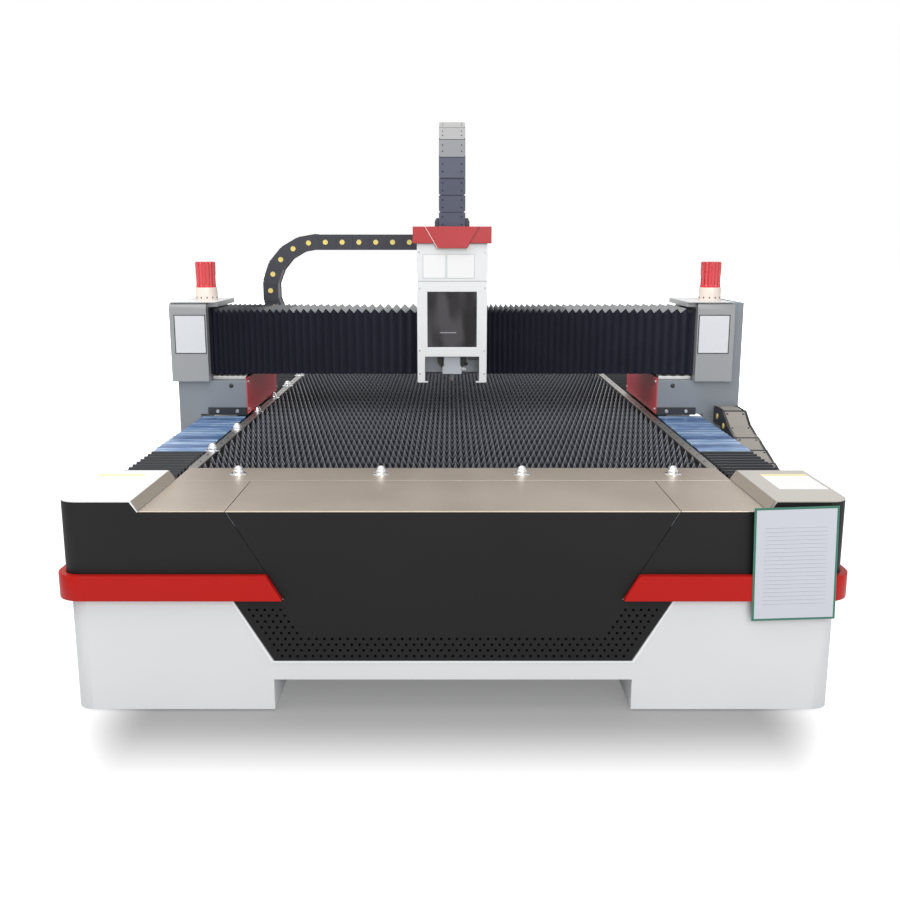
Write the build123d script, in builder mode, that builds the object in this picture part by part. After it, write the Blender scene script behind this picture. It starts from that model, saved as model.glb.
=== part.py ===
from build123d import *
import os
from math import cos, pi, sin

os.makedirs("parts", exist_ok=True)

# Flatbed fiber laser cutting machine, mm. X runs to the right, Y from front to back, Z up from the floor.

# Shared sheet and clearances
sheet = 3
overrun = 10
seat_gap = 0.3
weld_gap = 0.4

# Front cabinet
bed_length = 4600
pad_width = 218
cabinet_depth = 370
cabinet_corner = 50
table_height = 565
pad_rise = 27
pad_slope = 21
plate_inset = 4
plate_depth = 352
plate_seam = 2
apron_depth = 170
apron_flange = 20
skirt_clearance = 5
skirt_inset = 11
skirt_gap_width = 972
skirt_beam_bottom = 92
panel_top_width = 1200
panel_low_width = 1182
panel_bottom = 146
panel_slant_share = 0.6
stripe_bottom = 322
stripe_height = 70
stripe_proud = 20

# Bed frame
side_beam_gap = 30
side_beam_width = 160
side_beam_height = 250
side_beam_wall = 8
way_depth = 85
leg_size = 120
leg_first = 600
leg_pitch = 1000
leg_count = 4
rear_leg_inset = 200
foot_height = 60
foot_pad_radius = 45
foot_pad_height = 15
foot_stem_radius = 12
cross_size = 80
cross_drop = 70
tray_bar_height = 40
tray_bar_bottom = 120
tray_height_share = 0.59
tray_gap = 100
tray_play = 5
frame_tube = 40
side_cover_drop = 10

# Cutting table
slat_field_length = 3050
slat_rail_outer = 830
slat_rail_web = 6
slat_rail_flange = 30
slat_ledge = 54
slat_ledge_thick = 8
slat_end_play = 2
slat_thick = 4
slat_height = 107
slat_proud = 5
slat_pitch = 100
slat_tooth_pitch = 80
slat_tooth_height = 28
ball_flange_radius = 26
ball_flange_height = 4
ball_cup_radius = 16
ball_cup_height = 14
ball_radius = 13
ball_front_shares = (-0.787, -0.263, 0.254, 0.809)
ball_side_inset = 15
ball_side_first = 795
ball_side_pitch = 400
ball_side_count = 7

# Way covers
way_gap = 13
way_width = 177
way_play = 6
bellows_length = 448
bellows_pleat = 40
rear_pleat = 60
pleat_height = 18
bellows_thick = 10
lamella_pitch = 50
lamella_rise = 6
lamella_thick = 14

# Y axis
y_rail_inset = 75
y_rail_size = 35
y_rack_inset = 130
y_rack_width = 20
y_rack_height = 30
y_runner_width = 96
y_runner_length = 150
y_runner_lift = 8
y_runner_inset = 40
y_pinion_radius = 30
y_pinion_height = 26
y_pinion_lift = 4
y_shaft_radius = 11
shaft_play = 3

# Gantry
gantry_start = 1500
saddle_length = 690
saddle_gap = 6
saddle_width_left = 277
saddle_width_right = 333
saddle_rise = 9
saddle_height = 136
saddle_wall = 8
saddle_floor = 20
saddle_skirt = 100
saddle_skirt_thick = 12
column_width = 38
column_height = 315
guard_height = 148
wiper_length = 159
wiper_lift = 6
wiper_height = 30
wiper_thick = 6
motor_set_back = 595
motor_width = 100
motor_height = 280
gearbox_width = 90
gearbox_height = 100
motor_hole_play = 8
beam_set_back = 80
beam_depth = 300
beam_height = 230
beam_foot = 20
beam_foot_length = 130
beam_wall = 10
end_box_inset = 146
end_box_width = 148
end_box_front = 20
end_box_height = 316
end_box_round = 25
end_flange_length = 40
end_flange_thick = 18
end_flange_inset = 30
beacon_left_inset = 39
beacon_right_inset = 91
beacon_set_back = 170
beacon_base_radius = 46
beacon_base_height = 53
beacon_lens_radius = 42
beacon_lens_height = 107
beacon_dome = 14

# X axis
x_rail_depth = 25
x_rail_height = 25
x_rail_low_rise = 25
x_rail_high_drop = 45
x_rack_rise = 70
x_rack_height = 22
x_rack_depth = 22
x_rail_inset = 22
x_runner_depth = 43
x_runner_crown = 25
x_runner_margin = 13
x_runner_length = 70
x_runner_inset = 12
x_pinion_x = 92
x_pinion_radius = 20
x_pinion_width = 38
x_shaft_radius = 10
x_bellows_front = 20
x_bellows_fold = 25
x_bellows_thick = 6
x_bellows_pitch = 28
x_bellows_drop = 5
x_bellows_rise = 40
x_bellows_return = 355

# Head
carriage_width = 262
carriage_thick = 25
carriage_rise = 15
carriage_top_rise = 635
cover_front = 166
cover_wrap = 15
cover_bottom_rise = 160
cover_bar_bottom_rise = 261
cover_top_rise = 692
cover_leg = 29
cover_foot = 12
cover_foot_height = 6
window_width = 190
window_bottom_rise = 298
window_top_rise = 510
window_thick = 4
window_lap = 6
cap_half = 149
cap_top_rise = 754
cap_overhang = 14
cap_back = 12
shield_top = 202
shield_bottom = 108
shield_drop = 18
shield_thick = 4
chain_slot_play = 6
z_module_half = 55
z_module_depth = 45
z_module_bottom_rise = 275
z_module_top_rise = 555
z_motor_width = 60
z_motor_height = 110
x_motor_width = 60
x_motor_length = 125
x_gearbox_width = 66
x_gearbox_length = 30
z_slide_half = 50
z_slide_thick = 24
z_slide_bottom_rise = 315
z_slide_top_rise = 495
head_width = 68
head_depth = 60
head_block_bottom_rise = 220
head_block_top_rise = 395
head_lower_bottom_rise = 190
head_lower_width = 74
collimator_radius = 25
sensor_radius = 15
sensor_bottom_rise = 171
nozzle_radius = 9
nozzle_tip_radius = 4
nozzle_tip_rise = 159
nozzle_bore = 1.5

# Cable chains
link_gap = 0.6
link_plate = 14
link_recess = 4
chain_width = 100
chain_height = 66
chain_pitch = 80
x_chain_set_back = 450
x_chain_end = 148
x_chain_bend_x = 587
x_chain_top_rise = 731
x_chain_radius = 241
x_chain_fixed_x = 150
chain_tray_floor = 4
chain_tray_lip = 30
chain_tray_play = 2
chain_tray_inset = 2
arm_thick = 12
arm_right = 110
arm_margin = 5
z_chain_height = 60
z_chain_pitch = 64
z_chain_set_front = 120
z_chain_span = 380
z_chain_centre_rise = 934
z_chain_lift = 0.5
y_chain_gap = 6
y_chain_width = 98
y_chain_top_rise = 42
y_chain_flat = 160
y_chain_knee = 80
y_chain_knee_drop = 46
y_chain_bend_y = 880
y_chain_bend_drop = 113
y_chain_bottom = 100
y_chain_fixed_y = 2050
trough_front = 400
trough_wall = 3
trough_lip = 50
trough_bracket = 60
trough_bracket_count = 4
trough_bracket_inset = 300

# Fume outlet
spigot_radius = 100
spigot_length = 60
spigot_height = 330

# Planes and levels worked out from the sizes above
front_y = -bed_length / 2
rear_y = bed_length / 2
rear_inner = rear_y - sheet
plate_half = slat_rail_outer - plate_inset
cabinet_half = plate_half + pad_width
plate_bottom = table_height - sheet
pad_top = table_height + pad_rise
stripe_top = stripe_bottom + stripe_height
apron_y = front_y + plate_depth
slat_y = apron_y + apron_depth
slat_end_y = slat_y + slat_field_length
side_beam_top = table_height - way_depth
side_beam_bottom = side_beam_top - side_beam_height
side_beam_inner = slat_rail_outer + side_beam_gap
side_beam_outer = side_beam_inner + side_beam_width
way_inner = slat_rail_outer + way_gap
way_outer = way_inner + way_width
y_rail_x = side_beam_inner + y_rail_inset
y_rack_x = side_beam_inner + y_rack_inset
cross_top = side_beam_top - cross_drop
tray_z = tray_bar_bottom + tray_bar_height
tray_height = tray_height_share * (cross_top - cross_size - tray_z)
beam_start_y = apron_y + weld_gap
leg_x = side_beam_inner + side_beam_width / 2
leg_ys = [front_y + leg_first + leg_pitch * i for i in range(leg_count)]
leg_ys.append(rear_y - rear_leg_inset)
gantry_y = front_y + gantry_start
gantry_rear = gantry_y + saddle_length
saddle_inner = slat_rail_outer + saddle_gap
saddle_outer_left = saddle_inner + saddle_width_left
saddle_outer_right = saddle_inner + saddle_width_right
saddle_bottom = table_height + saddle_rise
saddle_top = saddle_bottom + saddle_height
motor_x = y_rack_x + y_rack_width + seat_gap + y_pinion_radius
motor_y = gantry_y + motor_set_back
beam_y = gantry_y + beam_set_back
beam_back = beam_y + beam_depth
beam_bottom = saddle_top + beam_foot
beam_top = beam_bottom + beam_height
end_box_inner = saddle_inner + end_box_inset
end_box_top = saddle_top + end_box_height
end_box_y = gantry_y - end_box_front
x_rail_y = beam_y - x_rail_depth
carriage_top = table_height + carriage_top_rise
cover_bottom = table_height + cover_bottom_rise
cover_bar_bottom = table_height + cover_bar_bottom_rise
cover_top = table_height + cover_top_rise
window_bottom = table_height + window_bottom_rise
window_top = table_height + window_top_rise
cap_top = table_height + cap_top_rise
z_module_bottom = table_height + z_module_bottom_rise
z_module_top = table_height + z_module_top_rise
z_slide_bottom = table_height + z_slide_bottom_rise
z_slide_top = table_height + z_slide_top_rise
head_block_bottom = table_height + head_block_bottom_rise
head_block_top = table_height + head_block_top_rise
head_lower_bottom = table_height + head_lower_bottom_rise
sensor_bottom = table_height + sensor_bottom_rise
nozzle_tip = table_height + nozzle_tip_rise
x_chain_top = table_height + x_chain_top_rise
z_chain_centre = table_height + z_chain_centre_rise
y_chain_top = table_height + y_chain_top_rise
y_chain_bend_top = table_height - y_chain_bend_drop
x_rail_low = beam_bottom + x_rail_low_rise
x_rail_high = beam_top - x_rail_high_drop
x_rack_bottom = beam_bottom + x_rack_rise
x_pinion_z = x_rack_bottom + x_rack_height + seat_gap + x_pinion_radius
carriage_half = carriage_width / 2
carriage_back = x_rail_y - x_runner_crown
carriage_y = carriage_back - carriage_thick
cover_half = carriage_half + sheet
cover_y = gantry_y - cover_front
z_module_y = carriage_y - z_module_depth
z_slide_y = z_module_y - seat_gap - z_slide_thick
head_y = z_slide_y - head_depth
head_centre_y = head_y + head_depth / 2
z_chain_y = gantry_y - z_chain_set_front
x_chain_y = gantry_y + x_chain_set_back
chain_tray_end = end_box_inner - chain_tray_inset
y_chain_inner = cabinet_half + stripe_proud + y_chain_gap
hands = ((-1, "left"), (1, "right"))


def block(x, y, z, mode=Mode.ADD):
    """A block between the two ends given on each axis."""
    with Locations(((x[0] + x[1]) / 2, (y[0] + y[1]) / 2, (z[0] + z[1]) / 2)):
        Box(abs(x[1] - x[0]), abs(y[1] - y[0]), abs(z[1] - z[0]), mode=mode)


def both(side, low, high):
    """A span on X, mirrored to the left where side is -1."""
    return (side * low, side * high)


def save(piece, name):
    """Labels a finished piece and writes it."""
    piece.part.label = name
    export_step(piece.part, f"parts/{name}.step")


def cabinet_plan(half, front, back, radius):
    """A plan that is rounded at its two front corners and square at the back."""
    with BuildSketch() as plan:
        with BuildLine():
            wall = FilletPolyline((-half, back), (-half, front), (half, front), (half, back), radius=radius)
            Line(wall @ 1, wall @ 0)
        make_face()
    return plan.sketch


def cabinet_wall(half):
    """The plan of a sheet wall round the cabinet, open at the back."""
    back = front_y + cabinet_depth
    outer = cabinet_plan(half, front_y, back, cabinet_corner)
    inner = cabinet_plan(half - sheet, front_y + sheet, back + overrun, cabinet_corner - sheet)
    return outer - inner


def panel_half(level):
    """Half the width between the slanted seams of the centre panel at a level."""
    return panel_top_width / 2 - panel_slant_share * (table_height - level)


def panel_low_half(level):
    """Half the width of the centre panel below the stripes at a level."""
    return panel_low_width / 2 - panel_slant_share * (stripe_bottom - level)


def pleats(start, end, top, pitch, rise, thick):
    """The section of a pleated sheet along Y, of even folds near the pitch given."""
    count = max(1, round(abs(end - start) / pitch))
    step = (end - start) / (2 * count)
    ridge = [(start + step * i, top - rise * ((i + 1) % 2)) for i in range(2 * count + 1)]
    return ridge + [(y, z - thick) for y, z in reversed(ridge)]


def run_places(start, end, outward, pitch):
    """Even places for the links of a straight chain run, and the length of each."""
    run = Vector(*end) - Vector(*start)
    count = max(1, round(run.length / pitch))
    places = []
    for i in range(count):
        middle = Vector(*start) + run * ((2 * i + 1) / (2 * count))
        places.append(Plane(origin=middle, x_dir=run, z_dir=Vector(*outward)).location)
    return places, run.length / count


def bend_places(centre, radius, first, second, pitch):
    """Even places for the links of a half turn from the direction first, through second, to minus first."""
    count = max(1, round(pi * radius / pitch))
    places = []
    for i in range(count):
        angle = pi * (2 * i + 1) / (2 * count)
        outward = Vector(*first) * cos(angle) + Vector(*second) * sin(angle)
        along = Vector(*second) * cos(angle) - Vector(*first) * sin(angle)
        middle = Vector(*centre) + outward * radius
        places.append(Plane(origin=middle, x_dir=along, z_dir=outward).location)
    return places, pi * radius / count


def chain_links(places, length, width, height):
    """Drag chain links: a bridge between two side plates, at each place."""
    with Locations(*places):
        Box(length - link_gap, width - link_plate, height - 2 * link_recess)
        for side in (-1, 1):
            with Locations((0, side * (width - link_plate) / 2, 0)):
                Box(length - link_gap, link_plate, height)


# Front skirt: one folded white sheet, two leg boxes and the low beam between them
with BuildPart() as front_skirt:
    with BuildSketch(Plane.XY.offset(skirt_clearance)):
        add(cabinet_wall(cabinet_half - skirt_inset))
    extrude(amount=stripe_bottom - skirt_clearance)
    with BuildSketch(Plane.XZ.offset(-front_y)):
        top_half = panel_low_half(stripe_bottom + overrun)
        low_half = panel_low_half(panel_bottom)
        Polygon(
            (-top_half, stripe_bottom + overrun),
            (-low_half, panel_bottom),
            (low_half, panel_bottom),
            (top_half, stripe_bottom + overrun),
            align=None,
        )
        with Locations((0, (skirt_beam_bottom + skirt_clearance) / 2)):
            Rectangle(skirt_gap_width, skirt_beam_bottom - skirt_clearance)
    extrude(amount=cabinet_depth / 2, both=True, mode=Mode.SUBTRACT)
    depth = (front_y, front_y + cabinet_depth)
    leg_inner = skirt_gap_width / 2
    for side, hand in hands:
        block(both(side, leg_inner, leg_inner + sheet), depth, (skirt_clearance, skirt_beam_bottom + sheet))
    block((-leg_inner, leg_inner), depth, (skirt_beam_bottom, skirt_beam_bottom + sheet))
save(front_skirt, "front_skirt")

# Front covers: black sheets left and right of the centre panel, wrapped round the corners
with BuildPart() as front_covers:
    with BuildSketch(Plane.XY.offset(stripe_bottom)):
        add(cabinet_wall(cabinet_half))
    extrude(amount=pad_top - sheet - stripe_bottom)
    with BuildSketch(Plane.XZ.offset(-front_y)):
        Polygon(
            (-panel_half(table_height + pad_rise), table_height + pad_rise),
            (-panel_half(stripe_bottom - overrun), stripe_bottom - overrun),
            (panel_half(stripe_bottom - overrun), stripe_bottom - overrun),
            (panel_half(table_height + pad_rise), table_height + pad_rise),
            align=None,
        )
        fold_low = plate_half + plate_seam + sheet
        fold_high = plate_half + pad_slope + sheet
        Polygon(
            (-fold_high, pad_top - sheet),
            (-fold_low, plate_bottom),
            (fold_low, plate_bottom),
            (fold_high, pad_top - sheet),
            align=None,
        )
    extrude(amount=cabinet_corner, both=True, mode=Mode.SUBTRACT)
save(front_covers, "front_covers")

# Centre panel: one black sheet, narrow between the stripes and wider below them
with BuildPart() as centre_panel:
    with BuildSketch(Plane.XZ.offset(-front_y)):
        right = [
            (panel_half(plate_bottom) - plate_seam, plate_bottom),
            (panel_half(stripe_bottom) - plate_seam, stripe_bottom - plate_seam),
            (panel_low_half(stripe_bottom) - plate_seam, stripe_bottom - plate_seam),
            (panel_low_half(panel_bottom) - plate_seam, panel_bottom + weld_gap),
        ]
        Polygon(*right, *[(-x, z) for x, z in reversed(right)], align=None)
    extrude(amount=-sheet)
save(centre_panel, "centre_panel")

# Red stripes: raised bands from the slanted seams round to the sides
with BuildPart() as red_stripes:
    with BuildSketch(Plane.XY.offset(stripe_bottom)):
        back = front_y + cabinet_depth
        reach = cabinet_half + stripe_proud
        add(cabinet_plan(reach, front_y - stripe_proud, back, cabinet_corner + stripe_proud))
        add(cabinet_plan(cabinet_half, front_y, back + overrun, cabinet_corner), mode=Mode.SUBTRACT)
    extrude(amount=stripe_height)
    with BuildSketch(Plane.XZ.offset(-front_y)):
        Polygon(
            (-panel_half(stripe_top + overrun), stripe_top + overrun),
            (-panel_half(stripe_bottom - overrun), stripe_bottom - overrun),
            (panel_half(stripe_bottom - overrun), stripe_bottom - overrun),
            (panel_half(stripe_top + overrun), stripe_top + overrun),
            align=None,
        )
    extrude(amount=stripe_proud + overrun, both=True, mode=Mode.SUBTRACT)
save(red_stripes, "red_stripes")

# Corner pads: pale folded lids on the two front corners, sloped down to the table plates
with BuildPart() as corner_pads:
    for side, hand in hands:
        with BuildSketch(Plane.XZ.offset(-front_y)):
            fold = [
                (plate_half + plate_seam, plate_bottom),
                (plate_half + pad_slope, pad_top),
                (cabinet_half, pad_top),
                (cabinet_half, pad_top - sheet),
                (plate_half + pad_slope + sheet, pad_top - sheet),
                (plate_half + plate_seam + sheet, plate_bottom),
            ]
            Polygon(*[(side * x, z) for x, z in fold], align=None)
        extrude(amount=-cabinet_depth)
    corners = edges().filter_by(Axis.Z).group_by(Axis.Y)[0]
    fillet(corners.sort_by(Axis.X)[:1] + corners.sort_by(Axis.X)[-1:], cabinet_corner)
save(corner_pads, "corner_pads")

# Table plates: three bare steel plates on the cabinet, the middle one a lid
with BuildPart() as table_plates:
    lid_half = panel_top_width / 2
    rows = (front_y, apron_y - weld_gap)
    block((-lid_half + plate_seam, lid_half - plate_seam), rows, (plate_bottom, table_height))
    for side, hand in hands:
        block(both(side, lid_half, plate_half), rows, (plate_bottom, table_height))
save(table_plates, "table_plates")

# Front apron: a folded channel between the table plates and the slats, which carries ball units
with BuildPart() as front_apron:
    block(
        (-plate_half, plate_half),
        (apron_y, slat_y - weld_gap),
        (table_height - apron_flange, table_height),
    )
    block(
        (-plate_half - overrun, plate_half + overrun),
        (apron_y + sheet, slat_y - weld_gap - sheet),
        (table_height - apron_flange - overrun, plate_bottom),
        mode=Mode.SUBTRACT,
    )
save(front_apron, "front_apron")

# Front frame: square tubes that carry the cabinet's sheets
with BuildPart() as front_frame:
    outer_x = cabinet_half - skirt_inset - sheet
    inner_x = outer_x - frame_tube
    post_y = front_y + cabinet_corner + overrun
    level = (plate_bottom - frame_tube, plate_bottom)
    straight = cabinet_half - cabinet_corner
    block((-straight, straight), (front_y + sheet, front_y + sheet + frame_tube), level)
    block((-outer_x, outer_x), (apron_y - frame_tube, apron_y), level)
    for side, hand in hands:
        corner_x = both(side, inner_x + weld_gap, outer_x)
        block(corner_x, (post_y, apron_y - frame_tube - weld_gap), level)
        for tube_y in (post_y, apron_y - frame_tube):
            block(corner_x, (tube_y, tube_y + frame_tube), (foot_height, level[0] - weld_gap))
save(front_frame, "front_frame")

# Side beams: long rectangular tubes that carry the Y ways
with BuildPart() as side_beams:
    for side, hand in hands:
        block(
            both(side, side_beam_inner, side_beam_outer),
            (beam_start_y, rear_inner),
            (side_beam_bottom, side_beam_top),
        )
        block(
            both(side, side_beam_inner + side_beam_wall, side_beam_outer - side_beam_wall),
            (beam_start_y - overrun, rear_inner + overrun),
            (side_beam_bottom + side_beam_wall, side_beam_top - side_beam_wall),
            mode=Mode.SUBTRACT,
        )
save(side_beams, "side_beams")

# Bed legs: square columns under the side beams
with BuildPart() as bed_legs:
    leg_height = side_beam_bottom - foot_height
    with Locations(*[(side * leg_x, y, foot_height + leg_height / 2) for side in (-1, 1) for y in leg_ys]):
        Box(leg_size, leg_size, leg_height)
save(bed_legs, "bed_legs")

# Levelling feet: a round pad on a stem under each leg
with BuildPart() as levelling_feet:
    with Locations(*[(side * leg_x, y, 0) for side in (-1, 1) for y in leg_ys]):
        Cylinder(foot_pad_radius, foot_pad_height, align=(Align.CENTER, Align.CENTER, Align.MIN))
        Cylinder(foot_stem_radius, foot_height, align=(Align.CENTER, Align.CENTER, Align.MIN))
save(levelling_feet, "levelling_feet")

# Cross members: upper tubes between the side beams, and lower bars between the legs for the trays
with BuildPart() as cross_members:
    for y in leg_ys:
        span_y = (y - cross_size / 2, y + cross_size / 2)
        block((-side_beam_inner, side_beam_inner), span_y, (cross_top - cross_size, cross_top))
        inner = leg_x - leg_size / 2
        block((-inner, inner), span_y, (tray_bar_bottom, tray_bar_bottom + tray_bar_height))
save(cross_members, "cross_members")

# Slag trays: open folded trays on the lower bars, under the slats
with BuildPart() as slag_trays:
    tray_half = side_beam_inner - tray_gap
    for near, far in zip(leg_ys[:-2], leg_ys[1:-1]):
        tray_y = (near + tray_play, far - tray_play)
        block((-tray_half, tray_half), tray_y, (tray_z, tray_z + tray_height))
        block(
            (-tray_half + sheet, tray_half - sheet),
            (tray_y[0] + sheet, tray_y[1] - sheet),
            (tray_z + sheet, tray_z + tray_height + overrun),
            mode=Mode.SUBTRACT,
        )
save(slag_trays, "slag_trays")

# Slat rails: angle rails on the cross members, with a ledge under the slat ends and a flange beside them
with BuildPart() as slat_rails:
    slat_bottom = table_height + slat_proud - slat_height
    for side, hand in hands:
        with BuildSketch(Plane.XZ.offset(-slat_y)):
            web = slat_rail_outer - slat_rail_web
            profile = [
                (slat_rail_outer, cross_top),
                (slat_rail_outer, table_height),
                (slat_rail_outer - slat_rail_flange, table_height),
                (slat_rail_outer - slat_rail_flange, table_height - slat_rail_web),
                (web, table_height - slat_rail_web),
                (web, slat_bottom),
                (web - slat_ledge, slat_bottom),
                (web - slat_ledge, slat_bottom - slat_ledge_thick),
                (web, slat_bottom - slat_ledge_thick),
                (web, cross_top),
            ]
            Polygon(*[(side * x, z) for x, z in profile], align=None)
        extrude(amount=-(rear_inner - slat_y))
save(slat_rails, "slat_rails")

# Saw slats: upright strips across the bed with pointed teeth
slat_half = slat_rail_outer - slat_rail_flange - slat_end_play
slat_tip = table_height + slat_proud
tooth_count = round(2 * slat_half / slat_tooth_pitch)
tooth_step = 2 * slat_half / tooth_count
with BuildPart() as one_slat:
    with BuildSketch(Plane.XZ):
        outline = [(-slat_half, slat_bottom), (slat_half, slat_bottom)]
        for i in range(tooth_count):
            outline.append((slat_half - tooth_step * i, slat_tip - slat_tooth_height))
            outline.append((slat_half - tooth_step * (2 * i + 1) / 2, slat_tip))
        outline.append((-slat_half, slat_tip - slat_tooth_height))
        Polygon(*outline, align=None)
    extrude(amount=slat_thick / 2, both=True)
slat_count = int(slat_field_length / slat_pitch)
with BuildPart() as saw_slats:
    with Locations(*[(0, slat_y + slat_pitch * (2 * i + 1) / 2, 0) for i in range(slat_count)]):
        add(one_slat.part)
save(saw_slats, "saw_slats")

# Ball transfer units: a flanged cup with a free ball, on the apron and on the left slat rail
unit_places = [(share * slat_rail_outer, apron_y + apron_depth / 2) for share in ball_front_shares]
first_unit = front_y + ball_side_first
ball_side_x = slat_rail_outer - ball_side_inset
unit_places += [(-ball_side_x, first_unit + ball_side_pitch * i) for i in range(ball_side_count)]
ball_z = table_height + ball_cup_height
with BuildPart() as ball_units:
    with Locations(*[(x, y, table_height) for x, y in unit_places]):
        Cylinder(ball_flange_radius, ball_flange_height, align=(Align.CENTER, Align.CENTER, Align.MIN))
        Cylinder(ball_cup_radius, ball_cup_height, align=(Align.CENTER, Align.CENTER, Align.MIN))
    with Locations(*[(x, y, ball_z) for x, y in unit_places]):
        Sphere(ball_radius + seat_gap, mode=Mode.SUBTRACT)
        Sphere(ball_radius)
save(ball_units, "ball_units")

# Side covers: flat sheets on the outside of the side beams
with BuildPart() as side_covers:
    for side, hand in hands:
        block(
            both(side, side_beam_outer, side_beam_outer + sheet),
            (front_y + cabinet_depth + weld_gap, rear_inner),
            (foot_height, side_beam_top - side_cover_drop),
        )
save(side_covers, "side_covers")

# Rear cover: a flat sheet with the fume outlet's hole
with BuildPart() as rear_cover:
    rear_half = side_beam_outer + sheet
    block((-rear_half, rear_half), (rear_inner, rear_y), (foot_height, table_height))
    with Locations(Plane(origin=(0, rear_y, spigot_height), z_dir=(0, 1, 0))):
        Hole(spigot_radius - sheet)
save(rear_cover, "rear_cover")

# Fume outlet: a short round spigot for a hose, welded to the rear cover
with BuildPart() as exhaust_spigot:
    with BuildSketch(Plane(origin=(0, rear_y, spigot_height), z_dir=(0, 1, 0))):
        Circle(spigot_radius)
        Circle(spigot_radius - sheet, mode=Mode.SUBTRACT)
    extrude(amount=spigot_length)
save(exhaust_spigot, "exhaust_spigot")

# Rear deck: a plate over the bed behind the slats
with BuildPart() as rear_deck:
    block(
        (-slat_rail_outer, slat_rail_outer),
        (slat_end_y, rear_inner),
        (table_height, table_height + sheet),
    )
save(rear_deck, "rear_deck")

# Y guideways: a rail and a rack on each side beam
with BuildPart() as y_guideways:
    way_y = (front_y + cabinet_depth, rear_inner - y_rack_width)
    for side, hand in hands:
        rail_x = both(side, y_rail_x - y_rail_size / 2, y_rail_x + y_rail_size / 2)
        block(rail_x, way_y, (side_beam_top, side_beam_top + y_rail_size))
        rack_x = both(side, y_rack_x, y_rack_x + y_rack_width)
        block(rack_x, way_y, (side_beam_top, side_beam_top + y_rack_height))
save(y_guideways, "y_guideways")

# Front bellows: pleated covers over the ways next to the cabinet
lamella_start = apron_y + bellows_length
with BuildPart() as front_bellows:
    for side, hand in hands:
        with BuildSketch(Plane.YZ.offset(side * (way_inner + way_outer) / 2)):
            near = apron_y + weld_gap
            Polygon(
                *pleats(near, lamella_start, table_height, bellows_pleat, pleat_height, bellows_thick),
                align=None,
            )
        extrude(amount=(way_outer - way_inner) / 2, both=True)
save(front_bellows, "front_bellows")

# Lamella covers: overlapping plates over the ways between the bellows and the gantry
with BuildPart() as lamella_covers:
    lamella_end = gantry_y - seat_gap
    count = round((lamella_end - lamella_start) / lamella_pitch)
    step = (lamella_end - lamella_start - weld_gap) / count
    for side, hand in hands:
        with BuildSketch(Plane.YZ.offset(side * (way_inner + way_outer) / 2)):
            outline = []
            for i in range(count):
                near = lamella_start + weld_gap + step * i
                outline += [(near, table_height - lamella_rise), (near + step, table_height)]
            outline += [(lamella_end, table_height - lamella_rise - lamella_thick)]
            outline += [(lamella_start + weld_gap, table_height - lamella_rise - lamella_thick)]
            Polygon(*outline, align=None)
        extrude(amount=(way_outer - way_inner) / 2, both=True)
save(lamella_covers, "lamella_covers")

# Rear bellows: pleated covers over the ways behind the gantry
with BuildPart() as rear_bellows:
    for side, hand in hands:
        with BuildSketch(Plane.YZ.offset(side * (way_inner + way_outer) / 2)):
            rear_start = gantry_rear + seat_gap
            Polygon(
                *pleats(rear_start, rear_inner, table_height, rear_pleat, pleat_height, bellows_thick),
                align=None,
            )
        extrude(amount=(way_outer - way_inner) / 2, both=True)
save(rear_bellows, "rear_bellows")

# Saddles: welded boxes at the gantry's ends, skirted outside the bed and in front, with a column on the right
for side, hand in hands:
    outer = saddle_outer_left if side < 0 else saddle_outer_right
    with BuildPart() as saddle:
        rows = (gantry_y, gantry_rear)
        block(both(side, saddle_inner, outer), rows, (saddle_bottom, saddle_top))
        block(
            both(side, saddle_inner + saddle_wall, outer - saddle_wall),
            (gantry_y + saddle_wall, gantry_rear - saddle_wall),
            (saddle_bottom + saddle_floor, saddle_top - saddle_wall),
            mode=Mode.SUBTRACT,
        )
        skirt_z = (saddle_bottom - saddle_skirt, saddle_bottom)
        block(both(side, outer - saddle_skirt_thick, outer), rows, skirt_z)
        front_plate = (gantry_y, gantry_y + saddle_skirt_thick)
        block(both(side, way_outer + way_play, outer), front_plate, skirt_z)
        with Locations((side * motor_x, motor_y, saddle_top)):
            hole = motor_width + 2 * motor_hole_play
            Box(hole, hole, 2 * (saddle_wall + weld_gap), mode=Mode.SUBTRACT)
        with Locations((side * motor_x, motor_y, saddle_bottom)):
            Cylinder(y_shaft_radius + shaft_play, 2 * (saddle_floor + weld_gap), mode=Mode.SUBTRACT)
        if side > 0:
            column_x = (outer - column_width, outer)
            block(column_x, (gantry_y, beam_back), (saddle_top, saddle_top + column_height))
    save(saddle, f"saddle_{hand}")

# Saddle guards: plates on the inner faces of the saddles
with BuildPart() as saddle_guards:
    for side, hand in hands:
        block(
            both(side, saddle_inner - sheet, saddle_inner),
            (gantry_y, gantry_rear),
            (saddle_bottom, saddle_bottom + guard_height),
        )
save(saddle_guards, "saddle_guards")

# Wiper brackets: bars low on the front faces of the saddles
with BuildPart() as wiper_brackets:
    for side, hand in hands:
        block(
            both(side, saddle_inner, saddle_inner + wiper_length),
            (gantry_y - wiper_thick, gantry_y),
            (table_height + wiper_lift, table_height + wiper_lift + wiper_height),
        )
save(wiper_brackets, "wiper_brackets")

# Y runners: guide blocks under the saddles, two on each rail
with BuildPart() as y_runners:
    for side, hand in hands:
        for near in (gantry_y + y_runner_inset, gantry_rear - y_runner_inset - y_runner_length):
            rows = (near, near + y_runner_length)
            block(
                both(side, y_rail_x - y_runner_width / 2, y_rail_x + y_runner_width / 2),
                rows,
                (side_beam_top + y_runner_lift, saddle_bottom),
            )
            slot = y_rail_size / 2 + seat_gap
            block(
                both(side, y_rail_x - slot, y_rail_x + slot),
                (rows[0] - overrun, rows[1] + overrun),
                (side_beam_top, side_beam_top + y_rail_size + seat_gap),
                mode=Mode.SUBTRACT,
            )
save(y_runners, "y_runners")

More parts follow.
